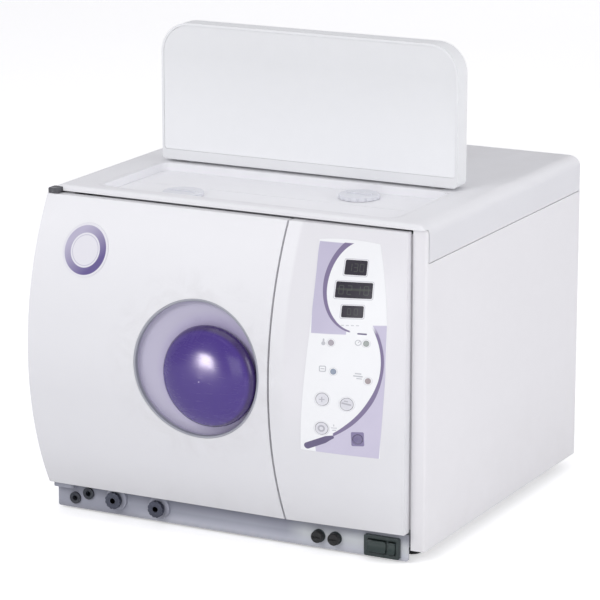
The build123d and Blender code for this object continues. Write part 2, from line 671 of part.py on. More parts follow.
def door_hinges():
    """Upper cap and lower bracket on the case, each with its pin."""
    cap = rounded_box(0.4, 15.6, -14.2, 2.6, 400.2, 406.0, 3.5)
    cap = fillet(cap.edges().filter_by_position(Axis.Z, 405.9, 406.1), 1.2)
    cap += cyl_z(HINGE_X, HINGE_Y, HINGE_PIN_R, 378, 403)
    low = box(2.2, 30.6, -17, -0.1, 31.2, 36.8)
    corners = low.edges().filter_by(Axis.Z).filter_by_position(Axis.Y, -17.1, -16.9)
    low = fillet(corners, 4)
    put("door_hinges", cap, low + cyl_z(HINGE_X, HINGE_Y, HINGE_PIN_R, 35, 60))


# --------------------------------------------------------------- control fascia
LAMPS = [(402, 270), (440, 270), (406, 236.5), (443, 226)]    # x, z
LAMP_R = 3.4
KEYS = [(394, 203, 7.4), (421, 198, 7.4), (392.5, 167.5, 7.4), (431.8, 155.6, 5.6)]  # x, z, radius
DISPLAYS = [(409, 434.5, 347.5, 364), (401.5, 443, 321.5, 339.5), (411, 435, 299.5, 313)]
# DISPLAYS columns: x0, x1, z0, z1
BOARD_Y0, BOARD_Y1 = -6.0, -4.4
BOARD_HOLES = [(364, 156), (456, 156), (364, 378), (456, 378)]    # x, z
# Blocks on the circuit board: x0, x1, y0, y1, z0, z1
CHIPS = [
    (380, 400, -8.4, BOARD_Y0, 270, 290),
    (430, 444, -9, BOARD_Y0, 330, 352),
    (376, 384, -12, BOARD_Y0, 220, 260),
    (404, 440, BOARD_Y1, -1.5, 170, 190),
    (410, 420, BOARD_Y1, -1.0, 300, 340),
]
# Blocks in the open electronics tray and the plate under it, same columns
TRAY_BLOCKS = [
    (424, 480, 348, 412, 109, 125),
    (430, 450, 355, 400, 120, 165),
    (456, 476, 360, 380, 120, 150),
    (418, 486, 340, 344, 40.6, 110),
]


def display_prism(display, margin, radius, back):
    x0, x1, z0, z1 = display
    return rounded_box(x0 - margin, x1 + margin, CLEAR_Y, back, z0 - margin, z1 + margin,
                       radius, Axis.Y)


def cut_controls(part, margin, sunk):
    """Cuts the display windows, with a margin, and the key and lamp holes."""
    for display in DISPLAYS:
        part -= display_prism(display, margin, 1.5 + margin, -10)
    for x, z, radius in KEYS:
        part -= normal_cylinder(x, z, radius + 0.5, 3, sunk)
    for x, z in LAMPS:
        part -= normal_cylinder(x, z, LAMP_R + 0.15, 3, sunk)
    return part


def round_front(part, radius):
    return fillet(part.faces().sort_by(Axis.Y)[0].edges(), radius)


def control_fascia():
    body = front_moulding(FASCIA_X0, FASCIA_X1, -0.4, 5)
    for bolt_z in BOLT_Z:
        body -= cyl_x(BOLT_Y, bolt_z, BOLT_R + 1.2, FASCIA_X0 - 2, FASCIA_X0 + 6)
    put("control_fascia", cut_controls(body, margin=0, sunk=2.3))


def label_outline():
    """Label seen from the front, as (x, z) points."""
    top_left, top_right = (372.5, 383.5), (447, 383.5)
    low_left, low_right = (366, 139), (454.5, 132)
    return make_face(Curve() + [
        Spline(low_left, (372, 212), (377, 290), top_left),
        ThreePointArc(top_left, (410, 386), top_right),
        Spline(top_right, (460.5, 290), (460.5, 235), low_right),
        ThreePointArc(low_right, (410, 136), low_left),
    ])


def control_label():
    z0, z1 = FRONT_LOW[1] + 20, FRONT_TOP[1] - 3
    prism = extrude(front_plane(0) * label_outline(), amount=100)
    skin = front_solid(FASCIA_X0, FASCIA_X1, -0.35, z0, z1, -2)
    skin -= front_solid(FASCIA_X0 - 0.01, FASCIA_X1, -0.03, z0 - 1, z1 + 1, -1)
    put("control_label", cut_controls(skin & prism, margin=0.3, sunk=3))


def display_modules():
    slab = front_skin(395, 452, 280, 380, -0.15, 5.5, -8, -2)
    windows = [slab & display_prism(display, -0.12, 1.4, -5) for display in DISPLAYS]
    lamps = [round_front(normal_cylinder(x, z, LAMP_R, 0.8, 2.1), 0.6) for x, z in LAMPS]
    put("display_modules", *windows, *lamps)


def keys():
    for i, (x, z, radius) in enumerate(KEYS, 1):
        put(f"key_{i}", round_front(normal_cylinder(x, z, radius, 1.0, 1.5), 0.5))


def control_electronics():
    """Circuit board on spacers behind the fascia, and an open tray near the rear."""
    board = box(358, 462, BOARD_Y0, BOARD_Y1, 150, 384)
    board = drill_y(board, BOARD_HOLES, 1.7, -8, -2)
    board = add_boxes(board, CHIPS)
    spacers = [cyl_y(x, z, 3.2, BOARD_Y1 + 0.05, BULK_Y0 - 0.05) for x, z in BOARD_HOLES]
    tray = box(418, 486, 340, 420, 108, 190) - box(420, 484, 342, 418, 110, 200)
    put("control_electronics", board, *spacers, add_boxes(tray, TRAY_BLOCKS))


# ------------------------------------------------------------ fittings on plinth
PLINTH_SEAT = -4.05             # rear of the collars on the plinth's front face
ROCK_Y = -5.0                   # y of the rockers' pivot
ROCK_Z = (SWITCH[2] + SWITCH[3]) / 2
ROCK_TILT = 7.0
ROCK_SPLIT = SWITCH[0] + 30.5   # x between the two rockers


def drain_valves():
    for i, (x, z) in enumerate(DRAINS, 1):
        valve = cyl_y(x, z, 7.0, -15, 4.6) - cyl_y(x, z, 3.6, -20, 3)
        valve += ring_y(x, z, 3.6, 10.5, -15.5, -11)
        put(f"drain_valve_{i}", drill_y(valve, around(x, z, 11.2, 12), 1.5, -20, -8))


def drain_fittings():
    sockets = []
    for x, z in DRAINS:
        socket = cyl_y(x, z, 11, -4.3, 5.4) + cyl_y(x, z, 14.5, -7.5, PLINTH_SEAT)
        sockets.append(round_rim(socket, 1.2, 0) - cyl_y(x, z, 7.1, -12, 4.9))
    ports = []
    for x, z in SMALL_PORTS:
        port = cyl_y(x, z, 5.1, -4.2, 4.5) + ring_y(x, z, 3.4, 7.4, -6.6, PLINTH_SEAT)
        ports.append(port - cyl_y(x, z, 3.4, -9, 3))
    put("drain_fittings", *sockets, *ports)


def fuse_caps():
    """Round caps with a slot across the front."""
    for i, (x, z) in enumerate(FUSES, 1):
        cap = cyl_y(x, z, 5.0, -10.5, 4.6)
        cap += cyl_y(x, z, 7.4, -12.5, -6.2)
        cap = round_rim(cap, 1.3, 0)
        put(f"fuse_cap_{i}", cap - box(x - 5, x + 5, -13, -11.4, z - 0.8, z + 0.8))


def switch_housings():
    """Bezel with two wells for the rockers, and the two fuse holders."""
    x0, x1, z0, z1 = SWITCH
    bezel = rounded_box(x0, x1, -8.0, PLINTH_SEAT, z0, z1, 2.5, Axis.Y)
    bezel += box(x0 + 3.2, x1 - 3.2, -5, 5.5, z0 + 3.2, z1 - 3.2)
    rim = 4.6
    for well_x0, well_x1 in ((x0 + rim, ROCK_SPLIT - 1.1), (ROCK_SPLIT + 1.1, x1 - rim)):
        bezel -= box(well_x0, well_x1, -10, 4.2, z0 + rim, z1 - rim)
    bezel -= cyl_x(ROCK_Y, ROCK_Z, 1.25, x0 + 3.5, x1 - 3.5)
    holders = []
    for x, z in FUSES:
        holder = cyl_y(x, z, 6.1, -4.1, 5.6) + cyl_y(x, z, 8.2, -6, PLINTH_SEAT)
        holders.append(holder - cyl_y(x, z, 5.05, -10, 5))
    put("switch_housings", bezel, *holders)


def rocker(name, x0, x1):
    """Rocker with a hollow front and a rounded rear, tilted on its pivot pin."""
    half = (SWITCH[3] - SWITCH[2]) / 2 - 5.8
    front, rear = -12.0, -3.5
    rear_half = half - 1.5
    profile = make_face(Curve() + [        # (y, z from the pivot)
        ThreePointArc((front, -half), (-9.0, 0), (front, half)),
        Line((front, half), (rear, rear_half)),
        ThreePointArc((rear, rear_half), (0.5, 0), (rear, -rear_half)),
        Line((rear, -rear_half), (front, -half)),
    ])
    plane = Plane(origin=(x0, 0, ROCK_Z), x_dir=(0, 1, 0), z_dir=(1, 0, 0))
    body = extrude(plane * profile, amount=x1 - x0)
    body = Pos(0, ROCK_Y, ROCK_Z) * Rot(-ROCK_TILT, 0, 0) * Pos(0, -ROCK_Y, -ROCK_Z) * body
    put(name, body + cyl_x(ROCK_Y, ROCK_Z, 1.2, x0 - 1.1, x1 + 1.1))


def rockers():
    rocker("rocker_power", SWITCH[0] + 5.0, ROCK_SPLIT - 1.5)
    rocker("rocker_aux", ROCK_SPLIT + 1.5, SWITCH[1] - 5.0)


# --------------------------------------------------------------------------- lid
LID_Y, LID_Z = 182.9, 415.0         # lid hinge axis, along X
LID_X0, LID_X1 = 51.0, 455.0
LID_Y0 = LID_Y - 5.5                # front face of the standing lid
LID_Y1 = LID_Y0 + 31.0
LID_Z0, LID_Z1 = LID_Z - 3.0, 585.0
LID_R = 38.0                        # radius of the free corners
LID_HINGES = (66.0, 416.0)          # left ends of the two lid hinges


def lid_slab(inset, y0, y1, z0, z1, top_r, low_r):
    """Upright slab, inset at both ends, with its upper and lower corners rounded."""
    slab = box(LID_X0 + inset, LID_X1 - inset, y0, y1, z0, z1)
    for z, radius in ((z1, top_r), (z0, low_r)):
        edges = slab.edges().filter_by(Axis.Y)
        slab = fillet(edges.filter_by_position(Axis.Z, z - 0.1, z + 0.1), radius)
    return slab


def lid_shell():
    lid = lid_slab(0, LID_Y0, LID_Y1, LID_Z0, LID_Z1, LID_R, 6)
    lid = fillet(lid.faces().sort_by(Axis.Y)[-1].edges(), 5.5)
    lid -= lid_slab(WALL, LID_Y0 - 1, LID_Y1 - WALL, LID_Z0 + 13, LID_Z1 - WALL,
                    LID_R - WALL, 4)
    for x in LID_HINGES:
        lid -= box(x - 2, x + 26, LID_Y0 + 1.2, LID_Y + 11, LID_Z0 - 1, LID_Z + 6)
    for x in LID_HINGES:
        x0, x1 = x + 6.4, x + 17.6
        knuckle = cyl_x(LID_Y, LID_Z, 3.8, x0, x1)
        lid += knuckle + box(x0, x1, LID_Y + 0.8, LID_Y + 12, LID_Z - 2.0, LID_Z + 3)
        lid -= cyl_x(LID_Y, LID_Z, 2.06, x - 3, x + 27)
    # lower front edge rounded about the hinge axis, so it clears the cover when closing
    edge = box(LID_X0 - 1, LID_X1 + 1, LID_Y0 - 1, LID_Y, LID_Z0 - 1, LID_Z)
    lid -= edge - cyl_x(LID_Y, LID_Z, 5.7, LID_X0 - 2, LID_X1 + 2)
    put("lid_shell", lid)


def lid_liner():
    inset = WALL + 0.2
    put("lid_liner", lid_slab(inset, LID_Y0 + 0.5, LID_Y0 + 2.9, LID_Z0 + 13.2,
                              LID_Z1 - inset, LID_R - inset, 3.8))


def lid_hinges():
    """Lugs on the top cover, two for each hinge, and the hinge pins."""
    lugs = []
    for x in LID_HINGES:
        for x0 in (x + 0.4, x + 18.4):
            x1 = x0 + 5.2
            lug = cyl_x(LID_Y, LID_Z, 3.9, x0, x1)
            lug += box(x0, x1, LID_Y, LID_Y + 9, LID_Z - 2.5, LID_Z + 2.5)
            lug += box(x0, x1, LID_Y + 3.8, LID_Y + 9, TOP_Z + 0.05, LID_Z)
            lugs.append(lug - cyl_x(LID_Y, LID_Z, 2.02, x0 - 1, x0 + 6))
    pins = [cyl_x(LID_Y, LID_Z, 2.0, x + 0.4, x + 23.6) for x in LID_HINGES]
    put("lid_hinges", *lugs, *pins)


# ------------------------------------------------------------------- rear pieces
SEAT_Y = DEPTH - 0.45           # front of the collars on the back panel


def mains_inlet():
    """Flanged socket with three blades."""
    x0, x1, z0, z1 = MAINS
    inlet = rounded_box(x0, x1, DEPTH - 26, SEAT_Y, z0, z1, 3, Axis.Y)
    inlet += rounded_box(x0 - 5, x1 + 5, SEAT_Y, DEPTH + 2.5, z0 - 3, z1 + 3, 3, Axis.Y)
    inlet -= rounded_box(x0 + 7, x1 - 7, DEPTH - 16, DEPTH + 4, z0 + 6, z1 - 6, 3, Axis.Y)
    for dx, dz in ((-8, -2), (0, 3), (8, -2)):
        x = (x0 + x1) / 2 + dx
        z = (z0 + z1) / 2 + dz
        inlet += box(x - 1.2, x + 1.2, DEPTH - 17, DEPTH - 2, z - 3, z + 3)
    put("mains_inlet", inlet)


def air_filter():
    body = cyl_y(*FILTER, 7.0, DEPTH - 8, DEPTH + 4)
    body += cyl_y(*FILTER, 27, DEPTH + 3.2, DEPTH + 15)
    body = round_rim(body, 2.5, -1)
    body = drill_y(body, around(*FILTER, 27.8, 24), 1.8, DEPTH + 2, DEPTH + 12)
    put("air_filter", body - cyl_y(*FILTER, 3.5, DEPTH - 12, DEPTH + 6))


def safety_cap():
    cap = cyl_y(*SAFETY, 4.0, DEPTH - 24, DEPTH + 9)
    cap += cyl_y(*SAFETY, 10.5, DEPTH + 6.2, DEPTH + 15.5)
    flutes = around(*SAFETY, 11.4, 10)
    put("safety_cap", drill_y(cap, flutes, 1.9, DEPTH + 5, DEPTH + 17))


def rear_fittings():
    """Filter socket, safety valve body and two barbed exhaust connectors."""
    socket = cyl_y(*FILTER, 12.2, DEPTH - 14, DEPTH + 1)
    socket += cyl_y(*FILTER, 20, SEAT_Y, DEPTH + 3)
    socket -= cyl_y(*FILTER, 7.05, DEPTH - 20, DEPTH + 5)
    valve = cyl_y(*SAFETY, 9, DEPTH - 34, DEPTH + 6)
    valve += cyl_y(*SAFETY, 16, SEAT_Y, DEPTH + 2.6)
    valve -= cyl_y(*SAFETY, 4.05, DEPTH - 30, DEPTH + 8)
    # (radius, y from DEPTH)
    barb = [(3, -20), (7, -20), (7, -0.45), (10, -0.45), (10, 2.5), (5, 2.5), (5, 7),
            (6, 7.2), (5, 10), (6, 10.2), (5, 13.5), (4.4, 15.5), (3, 15.5)]
    points = [(radius, DEPTH + y) for radius, y in barb]
    barbs = [revolve_y(Polyline(*points, close=True), x, z) for x, z in EXHAUSTS]
    put("rear_fittings", socket, valve, *barbs)


def fan_frame():
    x, z = FAN
    half = 42
    through = (DEPTH - 40, DEPTH)
    frame = rounded_box(x - half, x + half, DEPTH - 28, DEPTH - 3, z - half, z + half, 5, Axis.Y)
    frame -= cyl_y(x, z, 38.5, *through)
    for angle in (45, 135, 225, 315):
        frame += Pos(x, DEPTH - 26.5, z) * Rot(0, angle, 0) * Pos(26, 0, 0) * Box(30, 3, 4)
    frame += cyl_y(x, z, 14, DEPTH - 28, DEPTH - 22)
    frame -= cyl_y(x, z, 2.55, *through)
    corners = [(x + dx, z + dz) for dx in (-36, 36) for dz in (-36, 36)]
    put("fan_frame", drill_y(frame, corners, 2.2, *through))


def fan_rotor():
    x, z = FAN
    blades = 7
    rotor = cyl_y(x, z, 15, DEPTH - 20.5, DEPTH - 5) + cyl_y(x, z, 2.5, DEPTH - 27, DEPTH - 20)
    for j in range(blades):
        turn = Pos(x, DEPTH - 12.7, z) * Rot(0, 360 / blades * j, 0)
        rotor += turn * Pos(25, 0, 0) * Rot(38, 0, 0) * Box(24, 2, 17)
    put("fan_rotor", rotor)


# ----------------------------------------------------------------- inside pieces
BOILER_X, BOILER_Y = 452, 250    # steam generator axis, vertical
PIPE_R, PIPE_BEND = 3, 12
# Corner points (x, y, z) of each pipe
PIPES = [
    [(452, 250, 248), (452, 250, 330), (460, 360, 330), (460, 360, 260)],
    [(355, 90, 105), (355, 90, 160), (355, 60, 160), (430, 60, 160), (430, 60, 128)],
    [(365, 296, 130), (365, 296, 200), (402, 340, 200), (402, 340, 260)],
]


def vacuum_pump():
    """Motor along Y, pump block with a round head, and a base."""
    pump = cyl_y(365, 78, 28, 180, 262) + rounded_box(335, 395, 262, 330, 46, 110, 6)
    pump += box(345, 385, 190, 320, 42, 60)
    return pump + cyl_z(365, 296, 20, 108, 128)


def small_pump():
    """Smaller pump block with a motor, a base and two stubs on top."""
    pump = rounded_box(340, 396, 60, 120, 44, 88, 6) + cyl_y(368, 66, 17, 118, 160)
    pump += box(340, 396, 60, 160, 40.6, 48)
    return pump + (cyl_z(355, 90, 4, 86, 104) + cyl_z(381, 90, 4, 86, 104))


def valve_manifold():
    """Bar on two legs, with four valves on top."""
    manifold = box(424, 484, 60, 180, 60, 78)
    for i in range(4):
        y = 76 + i * 29
        manifold += cyl_z(454, y, 10, 76, 118) + box(442, 466, y - 10, y + 10, 112, 124)
    return add_boxes(manifold, [(430, 478, y, y + 10, 40.6, 62) for y in (70, 160)])


def pumps_and_valves():
    put("pumps_and_valves", vacuum_pump(), small_pump(), valve_manifold())


def condenser():
    """Row of fins on three tubes along X."""
    fins = [box(346 + i * 8, 347.5 + i * 8, 385, 420, 225, 315) for i in range(12)]
    body = fins[0]
    for fin in fins[1:]:
        body += fin
    tubes = [cyl_x(402, z, 4, 342, 440) for z in (240, 270, 300)]
    return body + (tubes[0] + tubes[1] + tubes[2])


def steam_generator():
    body = cyl_z(BOILER_X, BOILER_Y, 30, 62, 232)
    body = fillet(body.edges().filter_by(GeomType.CIRCLE), 8)
    # outlet, base flange, foot: radius, z0, z1
    extras = [cyl_z(BOILER_X, BOILER_Y, *size)
              for size in ((6, 230, 246), (34, 58, 64), (10, 40.5, 60))]
    return body + (extras[0] + extras[1] + extras[2])


def pipe(points):
    path = FilletPolyline(*points, radius=PIPE_BEND)
    plane = Plane(origin=path @ 0, z_dir=path % 0)
    return sweep(plane * Circle(PIPE_R), path)


def steam_plant():
    put("steam_plant", condenser(), steam_generator(), *[pipe(points) for points in PIPES])


def main():
    for build in (
        chassis, side_panels, back_panel, front_bulkhead, screws, front_plinth, feet,
        top_cover, recess_tray, reservoirs, reservoir_caps,
        chamber_vessel, chamber_rings, tray_rack, trays,
        door_cover, knob_dish, door_plates, hinge_blocks, spindle_bearings, bolt_guides,
        door_badge, knob, knob_spindle, bolt_carriage, lock_bolts, door_hinges,
        control_fascia, control_label, display_modules, keys, control_electronics,
        drain_valves, drain_fittings, fuse_caps, switch_housings, rockers,
        lid_shell, lid_liner, lid_hinges,
        mains_inlet, air_filter, safety_cap, rear_fittings, fan_frame, fan_rotor,
        pumps_and_valves, steam_plant,
    ):
        build()


if __name__ == "__main__":
    main()
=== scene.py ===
import math

import bmesh
import bpy
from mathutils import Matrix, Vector


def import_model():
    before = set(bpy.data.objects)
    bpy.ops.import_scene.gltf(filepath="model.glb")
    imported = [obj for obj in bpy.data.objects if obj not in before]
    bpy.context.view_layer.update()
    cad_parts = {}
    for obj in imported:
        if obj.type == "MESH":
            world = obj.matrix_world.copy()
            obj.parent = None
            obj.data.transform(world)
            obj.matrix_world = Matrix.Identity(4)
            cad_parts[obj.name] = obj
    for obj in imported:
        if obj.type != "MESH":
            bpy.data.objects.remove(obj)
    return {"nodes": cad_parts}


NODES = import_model()["nodes"]
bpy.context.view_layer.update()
scene = bpy.context.scene

# scene position of the design origin, in mm
ORIGIN_X, ORIGIN_Y = -250.0, -190.25

# places on the front, as (x, z)
KNOB_CENTRE = (250.0, 214.0)
DISH_CENTRE = (232.0, 219.0)
BADGE_CENTRE = (70.0, 342.0)
LAMPS = ((402, 270), (440, 270), (406, 236.5), (443, 226))
ROUND_KEYS = ((394, 203), (421, 198), (392.5, 167.5))
FUNCTION_KEY = (431.8, 155.6)
KEY_RADIUS = 7.4
DRAIN_MOUTHS = ((86.0, 23.0), (146.0, 21.0))
# left, right, bottom, top of each display window
DISPLAYS = ((409, 434.5, 347.5, 364), (401.5, 443, 321.5, 339.5), (411, 435, 299.5, 313))
# first digit x, pitch, z, digit height, digits shown
DIGIT_ROWS = (
    (414.6, 7.0, 355.8, 8.4, "130"),
    (408.0, 9.4, 330.5, 9.6, "0210"),
    (419.4, 7.4, 306.2, 7.0, "00"),
)
# lit bars: top, upper right, lower right, bottom, lower left, upper left, middle
DIGIT_BARS = {"0": (0, 1, 2, 3, 4, 5), "1": (1, 2), "2": (0, 1, 3, 4, 6), "3": (0, 1, 2, 3, 6)}


def circle_through(first, middle, last):
    """Centre y, centre z and radius of the circle through three (y, z) points."""
    (y1, z1), (y2, z2), (y3, z3) = first, middle, last
    s1, s2, s3 = y1**2 + z1**2, y2**2 + z2**2, y3**2 + z3**2
    double_area = 2 * (y1 * (z2 - z3) + y2 * (z3 - z1) + y3 * (z1 - z2))
    centre_y = (s1 * (z2 - z3) + s2 * (z3 - z1) + s3 * (z1 - z2)) / double_area
    centre_z = (s1 * (y3 - y2) + s2 * (y1 - y3) + s3 * (y2 - y1)) / double_area
    return centre_y, centre_z, math.hypot(y1 - centre_y, z1 - centre_z)


# the door's bow, seen from the side
BOW_Y, BOW_Z, BOW_RADIUS = circle_through((-14.0, 399.5), (-66.0, 216.0), (-22.0, 38.0))


# ------------------------------------------------------------------ node maths
def feed(tree, socket, value):
    """Link a Value into a socket, or set a constant on it."""
    if isinstance(value, Value):
        tree.links.new(value.socket, socket)
    else:
        socket.default_value = value


def new_node(tree, kind, inputs=None, **settings):
    node = tree.nodes.new(kind)
    for name, value in settings.items():
        setattr(node, name, value)
    for key, value in (inputs or {}).items():
        feed(tree, node.inputs[key], value)
    return node


def math_node(tree, operation, *operands, clamp=False):
    inputs = dict(enumerate(operands))
    node = new_node(tree, "ShaderNodeMath", inputs, operation=operation, use_clamp=clamp)
    return Value(tree, node.outputs[0])


class Value:
    """An output socket that can be used in arithmetic."""

    def __init__(self, tree, socket):
        self.tree = tree
        self.socket = socket

    def math(self, operation, *others, clamp=False):
        return math_node(self.tree, operation, self, *others, clamp=clamp)

    def __add__(self, other):
        return self.math("ADD", other)

    def __sub__(self, other):
        return self.math("SUBTRACT", other)

    def __rsub__(self, other):
        return math_node(self.tree, "SUBTRACT", other, self)

    def __mul__(self, other):
        return self.math("MULTIPLY", other)

    def __truediv__(self, other):
        return self.math("DIVIDE", other)

    def __neg__(self):
        return self.math("MULTIPLY", -1.0)

    def __abs__(self):
        return self.math("ABSOLUTE")


def clamp01(value):
    return value.math("MULTIPLY", 1.0, clamp=True)


def total(values):
    return sum(values[1:], values[0])


def length(across, up):
    return (across * across + up * up).math("SQRT")


def rise(value, start, span):
    """0 up to start, then climbing to 1 over span."""
    return clamp01((value - start) / span)


def fall(value, end, span):
    """1 until span before end, then dropping to 0 at end."""
    return clamp01((end - value) / span)


def band(value, centre, half_width):
    """1 at centre, fading to 0 at half_width either side."""
    return clamp01(1.0 - abs(value - centre) / half_width)


def patches(noise, threshold, gain):
    """Patches where the noise passes a threshold."""
    return clamp01((noise - threshold) * gain)


def edge(distance, soft):
    """1 where the distance is below 0, soft over that many mm."""
    return distance.math("MULTIPLY_ADD", -1.0 / soft, 0.5, clamp=True)


def below(value, limit, soft):
    return edge(value - limit, soft)


def above(value, limit, soft):
    return edge(limit - value, soft)


def stroke(distance, half_width, soft):
    """A line drawn where the distance is 0."""
    return edge(abs(distance) - half_width, soft)


class Plane:
    """Signed distances in mm to flat shapes, negative inside."""

    def __init__(self, x, z):
        self.x = x
        self.z = z

    def radius(self, centre_x, centre_z):
        return length(self.x - centre_x, self.z - centre_z)

    def circle(self, centre_x, centre_z, radius):
        return self.radius(centre_x, centre_z) - radius

    def box(self, x0, x1, z0, z1, corner):
        over_x = abs(self.x - (x0 + x1) / 2) - ((x1 - x0) / 2 - corner)
        over_z = abs(self.z - (z0 + z1) / 2) - ((z1 - z0) / 2 - corner)
        outside = length(over_x.math("MAXIMUM", 0.0), over_z.math("MAXIMUM", 0.0))
        inside = over_x.math("MAXIMUM", over_z).math("MINIMUM", 0.0)
        return outside + inside - corner

    def ellipse(self, centre_x, centre_z, radius_x, radius_z):
        """Scaled distance, about mm near the ellipse."""
        unit = length((self.x - centre_x) / radius_x, (self.z - centre_z) / radius_z)
        return (unit - 1.0) * min(radius_x, radius_z)

    def segment(self, x0, z0, x1, z1, half_width):
        run, climb = x1 - x0, z1 - z0
        square = run * run + climb * climb
        along = clamp01(((self.x - x0) * run + (self.z - z0) * climb) / square)
        return length(self.x - x0 - along * run, self.z - z0 - along * climb) - half_width


def linear(srgb):
    """sRGB 0-255 to linear RGBA."""
    channels = [c / 255.0 for c in srgb]
    return (*(c / 12.92 if c <= 0.04045 else ((c + 0.055) / 1.055) ** 2.4 for c in channels), 1.0)


class Material:
    """A Principled material; noise scales are in cells per metre, bump depths in mm."""

    def __init__(self, name):
        self.material = bpy.data.materials.new(name)
        self.material.use_nodes = True
        self.tree = self.material.node_tree
        self.tree.nodes.clear()
        output = new_node(self.tree, "ShaderNodeOutputMaterial")
        self.bsdf = new_node(self.tree, "ShaderNodeBsdfPrincipled")
        self.tree.links.new(self.bsdf.outputs[0], output.inputs[0])
        coordinates = new_node(self.tree, "ShaderNodeTexCoord")
        self.position = Value(self.tree, coordinates.outputs["Object"])
        self.bumps = []

    def xyz(self):
        """Design coordinates in mm."""
        split = new_node(self.tree, "ShaderNodeSeparateXYZ", {0: self.position})
        x, y, z = (Value(self.tree, socket) * 1000.0 for socket in split.outputs)
        return x - ORIGIN_X, y - ORIGIN_Y, z

    def texture(self, kind, output, inputs, stretch=(1, 1, 1), **settings):
        mapping = new_node(
            self.tree, "ShaderNodeMapping", {"Vector": self.position, "Scale": stretch})
        inputs["Vector"] = Value(self.tree, mapping.outputs[0])
        return Value(self.tree, new_node(self.tree, kind, inputs, **settings).outputs[output])

    def noise(self, scale, detail=2.0, rough=0.5, stretch=(1, 1, 1), distortion=0.0):
        inputs = {"Scale": scale, "Detail": detail, "Roughness": rough, "Distortion": distortion}
        return self.texture("ShaderNodeTexNoise", "Fac", inputs, stretch)

    def mix(self, first, second, factor):
        """Blend two colours, each an sRGB tuple or a Value."""
        first, second = (linear(c) if isinstance(c, tuple) else c for c in (first, second))
        # sockets 0, 6 and 7 are the factor and the two colours; output 2 is the colour
        node = new_node(self.tree, "ShaderNodeMix", data_type="RGBA", clamp_factor=True)
        for index, value in ((0, factor), (6, first), (7, second)):
            feed(self.tree, node.inputs[index], value)
        return Value(self.tree, node.outputs[2])

    def mottled(self, dark, light, scale, detail=3.0, rough=0.6):
        """Two tones blended by noise."""
        return self.mix(dark, light, clamp01(self.noise(scale, detail, rough)))

    def drift(self, scale):
        """Slow tone drift with a little fine noise."""
        slow = self.noise(scale)
        return clamp01(slow * 0.75 + self.noise(60, 3.0, 0.6) * 0.35 - 0.05)

    def set(self, name, value):
        feed(self.tree, self.bsdf.inputs[name], value)

    def color(self, value):
        self.set("Base Color", value)

    def roughness(self, base, *extras, scale, swing, detail=3.0, rough=0.6):
        """Base plus noise times swing plus any extras."""
        varied = total([self.noise(scale, detail, rough) * swing, *extras])
        self.set("Roughness", clamp01(varied + base))

    def coat(self, weight, roughness):
        self.set("Coat Weight", weight)
        self.set("Coat Roughness", roughness)

    def bump(self, height, depth, strength=1.0):
        self.bumps.append({"Height": height, "Distance": depth / 1000, "Strength": strength})

    def grain(self, scale, depth, detail=2.0, rough=0.5):
        self.bump(self.noise(scale, detail, rough), depth)

    def dimples(self, depth, scale=95, strength=0.55):
        """Broad, shallow unevenness."""
        self.bump(self.noise(scale, 1.0, 0.4), depth, strength)

    def finish(self, round_mm):
        """Chain edge rounding and bumps into the normal."""
        normal = None
        if round_mm > 0:
            radius = {"Radius": round_mm / 1000}
            bevel = new_node(self.tree, "ShaderNodeBevel", radius, samples=4)
            normal = Value(self.tree, bevel.outputs[0])
        for inputs in self.bumps:
            if normal is not None:
                inputs["Normal"] = normal
            node = new_node(self.tree, "ShaderNodeBump", inputs)
            normal = Value(self.tree, node.outputs[0])
        self.set("Normal", normal)
        return self.material


# ----------------------------------------------------------- general materials
def plastic(name, srgb, rough, tone, peel, grain, coat=0.0, dust=0.0, mottle=3.0):
    """Moulded or painted surface: slow tone drift, fine texture, dust low down."""
    m = Material(name)
    dark = tuple(max(0, c - tone) for c in srgb)
    light = tuple(min(255, c + tone * 0.5) for c in srgb)
    color = m.mix(dark, light, m.drift(mottle))
    if dust > 0:
        z = m.xyz()[2]
        low = fall(z, 150.0, 150.0) * m.noise(22, 4.0, 0.65) * dust
        color = m.mix(color, (176, 174, 168), low)
    m.color(color)
    m.roughness(rough - 0.07, scale=14, swing=0.14)
    m.set("Specular IOR Level", 0.5)
    if coat > 0:
        m.coat(coat, roughness=0.12)
    m.grain(grain, depth=peel)
    m.dimples(peel * 2.2)
    return m.finish(round_mm=0.5)


def steel(name, srgb, rough, stretch=(1, 40, 40), scale=55, stain=0.0, amount=0.12):
    """Brushed or drawn metal: long streaks in tone, roughness and height."""
    m = Material(name)
    streak = m.noise(scale, 4.0, 0.65, stretch)
    broad = m.noise(9)
    dark = tuple(c * 0.86 for c in srgb)
    color = m.mix(dark, srgb, clamp01(streak * 0.8 + broad * 0.3))
    if stain:
        spots = patches(m.noise(35, 5.0, 0.7), threshold=0.56, gain=6.0) * stain
        color = m.mix(color, (150, 140, 120), spots)
    m.color(color)
    m.set("Metallic", 1.0)
    m.set("Roughness", clamp01(streak * amount + broad * 0.08 + (rough - 0.08)))
    m.bump(streak, depth=0.012)
    return m.finish(round_mm=0.3)


def cast_aluminium():
    m = Material("cast_alu")
    srgb = (168, 170, 174)
    grains = m.noise(420, 3.0, 0.6)
    dark = tuple(c * 0.8 for c in srgb)
    m.color(m.mix(dark, srgb, clamp01(grains * 0.6 + m.noise(18, 3.0) * 0.5)))
    m.set("Metallic", 1.0)
    m.set("Roughness", clamp01(grains * 0.2 + 0.4))
    m.bump(grains, depth=0.05)
    return m.finish(round_mm=0.4)


def rubber(name, srgb, rough):
    m = Material(name)
    paler = tuple(min(255, c + 16) for c in srgb)
    m.color(m.mottled(srgb, paler, scale=30, detail=4.0))
    m.roughness(rough - 0.1, scale=40, swing=0.2, rough=0.5)
    m.set("Specular IOR Level", 0.35)
    m.grain(700, depth=0.04, rough=0.6)
    return m.finish(round_mm=0.4)


